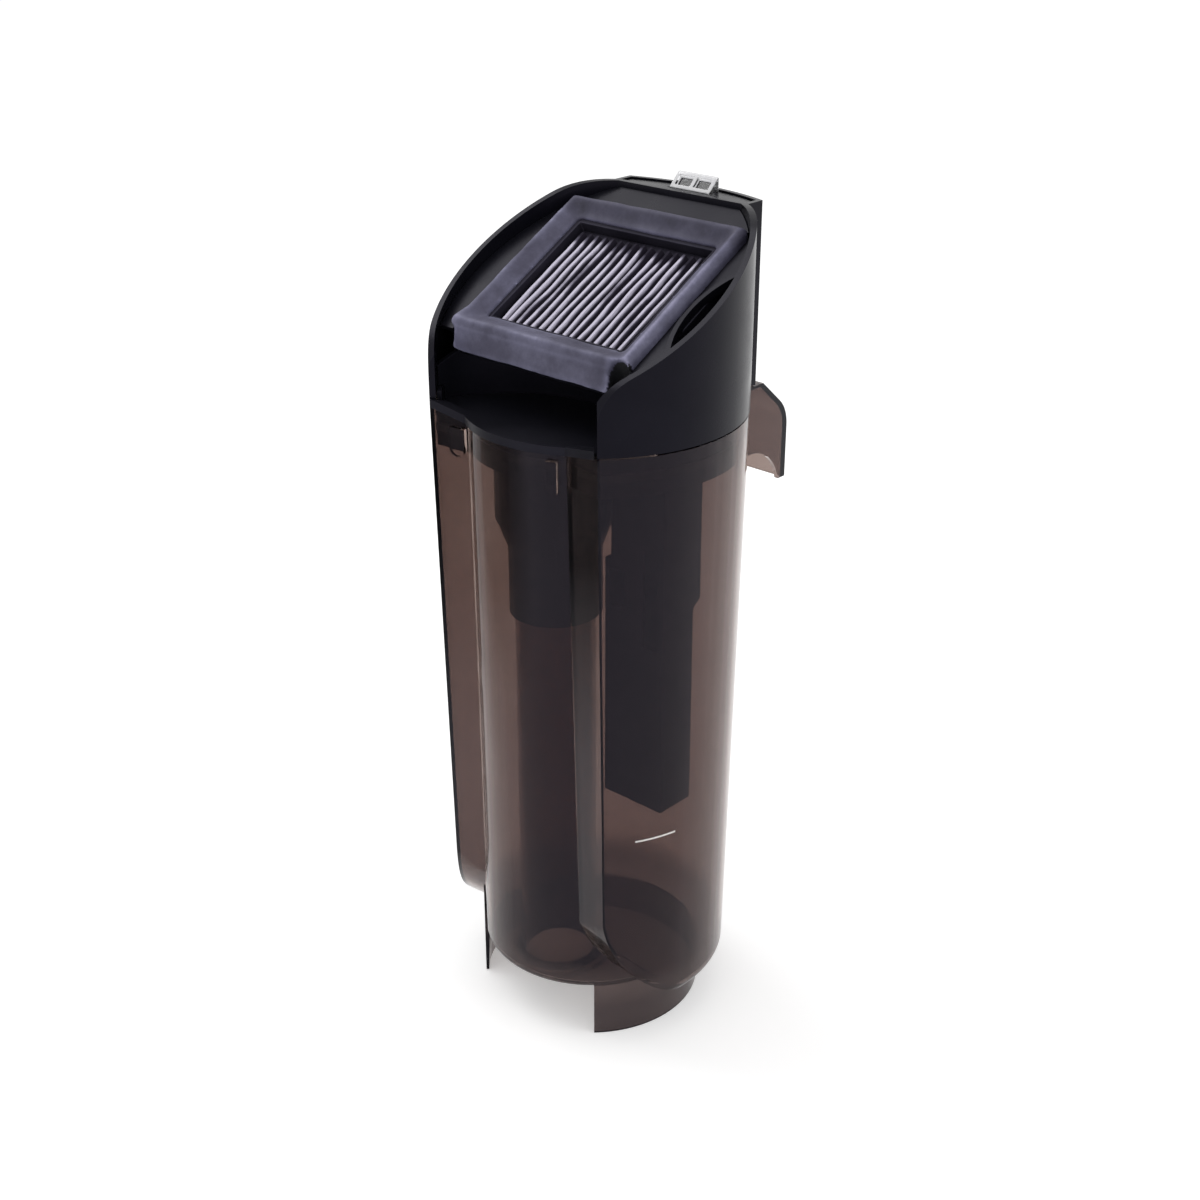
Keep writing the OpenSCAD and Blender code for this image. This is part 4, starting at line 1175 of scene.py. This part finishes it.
@dataclass
class ReleaseLatch:
    """The clear push latch: a frosted rim around two polished windows."""

    finishes: Finishes
    edge_r: float = 0.4
    frost_and_highlight: float = 0.8
    window_depth: float = 1.0
    facing: float = 0.3

    def build(self) -> None:
        """Dress the latch and frost its rim, which faces up and to the front; this frost is partly a painted
        reflection of the overhead light.
        """
        piece = broken_edges("release_latch", self.edge_r, Body.LATCH, self.finishes.clear)
        # painted reflection with frost: the rim's top face is made paler where it mirrors the overhead light
        out = Vector((0, -1, 1)).normalized()
        front = max(vert.co.dot(out) for vert in piece.data.vertices) - self.window_depth * MM
        worn = piece.data.attributes["wear_and_painted_light"].data
        for face in piece.data.polygons:
            if face.normal.dot(out) > self.facing and face.center.dot(out) > front:
                worn[face.index].value = max(self.frost_and_highlight, worn[face.index].value)


# ------------------------------------------------------------------- studio


@dataclass(frozen=True)
class Softbox:
    """A square lamp: where it stands and its side in metres, and its power in watts."""

    name: str
    place: tuple[float, float, float]
    side: float
    power: float


@dataclass
class Studio:
    """Pale floor, soft lamps and the camera, in metres, with lens and sensor in millimetres."""

    eye: tuple[float, float, float] = (0.54364, -0.61045, 0.60107)
    aim: tuple[float, float, float] = (0.003536, -0.017398, 0.223536)
    lens: float = 53.15
    sensor: float = 36.0
    nearest: float = 0.05
    farthest: float = 50.0
    softboxes: tuple[Softbox, ...] = (Softbox("key_softbox", (-1.08, -0.12, 1.78), 1.2, 10.0),
                                      Softbox("fill_softbox", (1.3, 0.4, 1.1), 0.9, 4.0))
    lamp_aim: tuple[float, float, float] = (0.0, 0.0, 0.25)
    ambient: float = 0.75
    floor_half: float = 6.0
    floor_drop: float = 0.0002
    floor_cloud_mm: float = 333.3
    floor_dull: str = "f6f6f6"
    floor_bright: str = "fafafa"
    floor_glow: float = 0.32
    # a black flag on the floor's front left: where it lies, its full radius, its soft rim and its hold
    flag: tuple[float, float, float] = (-0.68, -0.52, 0.0)
    flag_r: float = 0.28
    flag_fade: float = 0.3
    flag_hold: float = 0.9
    flag_colour: str = "0a0a0b"

    def build(self) -> None:
        """Set up the floor, world, lamps and camera."""
        self.floor()
        self.world()
        for softbox in self.softboxes:
            self.lamp(softbox)
        self.camera()
        bpy.context.scene.view_settings.view_transform = "Standard"

    def floor(self) -> None:
        """A pale floor that keeps the shadow."""
        bm = bmesh.new()
        bmesh.ops.create_grid(bm, x_segments=1, y_segments=1, size=self.floor_half)
        bmesh.ops.translate(bm, verts=bm.verts, vec=(0, 0, -self.floor_drop))
        obj = loose_object("studio_floor", bm)
        obj.data.materials.append(self.floor_finish())

    def floor_finish(self) -> bpy.types.Material:
        """White paint, lit up a little where it is looked at, and dark where the flag is mirrored.

        Returns:
            The material.
        """
        material, tree = new_material("white_studio_floor")
        cloud = add_node(tree, "ShaderNodeTexNoise", values={
            "Vector": object_coords(tree), "Scale": cells(self.floor_cloud_mm)}).outputs["Fac"]
        colour = add_node(tree, "ShaderNodeValToRGB", values={"Fac": cloud}, stops=[
            (0.0, srgb(self.floor_dull)), (1.0, srgb(self.floor_bright))]).outputs["Color"]
        plain = add_node(tree, "ShaderNodeBsdfDiffuse", values={"Color": colour})
        lift = add_node(tree, "ShaderNodeMath", {"operation": "MULTIPLY"}, {
            0: looked_at(tree), 1: self.floor_glow}).outputs[0]
        glow = add_node(tree, "ShaderNodeEmission", values={"Color": WHITE, "Strength": lift})
        both = add_node(tree, "ShaderNodeAddShader", values={0: plain.outputs[0], 1: glow.outputs[0]})
        # only reflections see the flag: neither the camera nor a clear wall does
        away = add_node(tree, "ShaderNodeVectorMath", {"operation": "DISTANCE"}, {
            0: object_coords(tree), 1: self.flag}).outputs["Value"]
        near = add_node(tree, "ShaderNodeMapRange", values={
            "Value": away, "From Min": self.flag_r, "From Max": self.flag_r + self.flag_fade,
            "To Min": self.flag_hold, "To Max": 0.0}).outputs["Result"]
        path = add_node(tree, "ShaderNodeLightPath").outputs
        mirrored = add_node(tree, "ShaderNodeMath", {"operation": "SUBTRACT", "use_clamp": True}, {
            0: path["Is Glossy Ray"], 1: path["Is Transmission Ray"]}).outputs[0]
        hold = add_node(tree, "ShaderNodeMath", {"operation": "MULTIPLY"}, {
            0: near, 1: mirrored}).outputs[0]
        black = add_node(tree, "ShaderNodeBsdfDiffuse", values={"Color": srgb(self.flag_colour)})
        flagged = add_node(tree, "ShaderNodeMixShader", values={
            0: hold, 1: both.outputs[0], 2: black.outputs[0]})
        add_node(tree, "ShaderNodeOutputMaterial", values={"Surface": flagged.outputs[0]})
        return material

    def world(self) -> None:
        """White to the camera, to reflections and through clear pieces, softer as a lamp."""
        world = bpy.data.worlds.new("studio_world")
        bpy.context.scene.world = world
        world.use_nodes = True
        tree = world.node_tree
        tree.nodes.clear()
        level = add_node(tree, "ShaderNodeMapRange", values={
            "Value": looked_at(tree), "To Min": self.ambient, "To Max": 1.0}).outputs["Result"]
        sky = add_node(tree, "ShaderNodeBackground", values={"Color": WHITE, "Strength": level})
        add_node(tree, "ShaderNodeOutputWorld", values={"Surface": sky.outputs[0]})

    def lamp(self, softbox: Softbox) -> None:
        """Add a square softbox aimed at the part.

        Args:
            softbox: The lamp's name, place, size and power.
        """
        data = bpy.data.lights.new(softbox.name, "AREA")
        data.size = softbox.side
        data.energy = softbox.power
        self.stand(softbox.name, data, softbox.place, self.lamp_aim)

    def camera(self) -> None:
        """Place the camera at the viewing angle."""
        data = bpy.data.cameras.new("camera")
        data.sensor_fit = "HORIZONTAL"
        data.sensor_width = self.sensor
        data.lens = self.lens
        data.clip_start, data.clip_end = self.nearest, self.farthest
        bpy.context.scene.camera = self.stand("camera", data, self.eye, self.aim)

    def stand(self, name: str, data: bpy.types.ID, place: Sequence[float],
              aim: Sequence[float]) -> bpy.types.Object:
        """Stand a lamp or the camera in its place and turn it to what it is aimed at.

        Args:
            name: The object's name.
            data: The lamp or camera.
            place: Where it stands.
            aim: The point it looks at.

        Returns:
            The object.
        """
        obj = bpy.data.objects.new(name, data)
        bpy.context.scene.collection.objects.link(obj)
        obj.location = place
        obj.rotation_euler = (Vector(aim) - Vector(place)).to_track_quat("-Z", "Y").to_euler()
        return obj


def main() -> None:
    """Build the assemblies in order."""
    logging.basicConfig(level=logging.INFO, format="%(name)s %(message)s")
    finishes = Finishes()
    for part in (DustBin(finishes), LidAssembly(finishes), FilterPack(finishes), ReleaseLatch(finishes)):
        part.build()
    Studio().build()


if __name__ == "__main__":
    main()
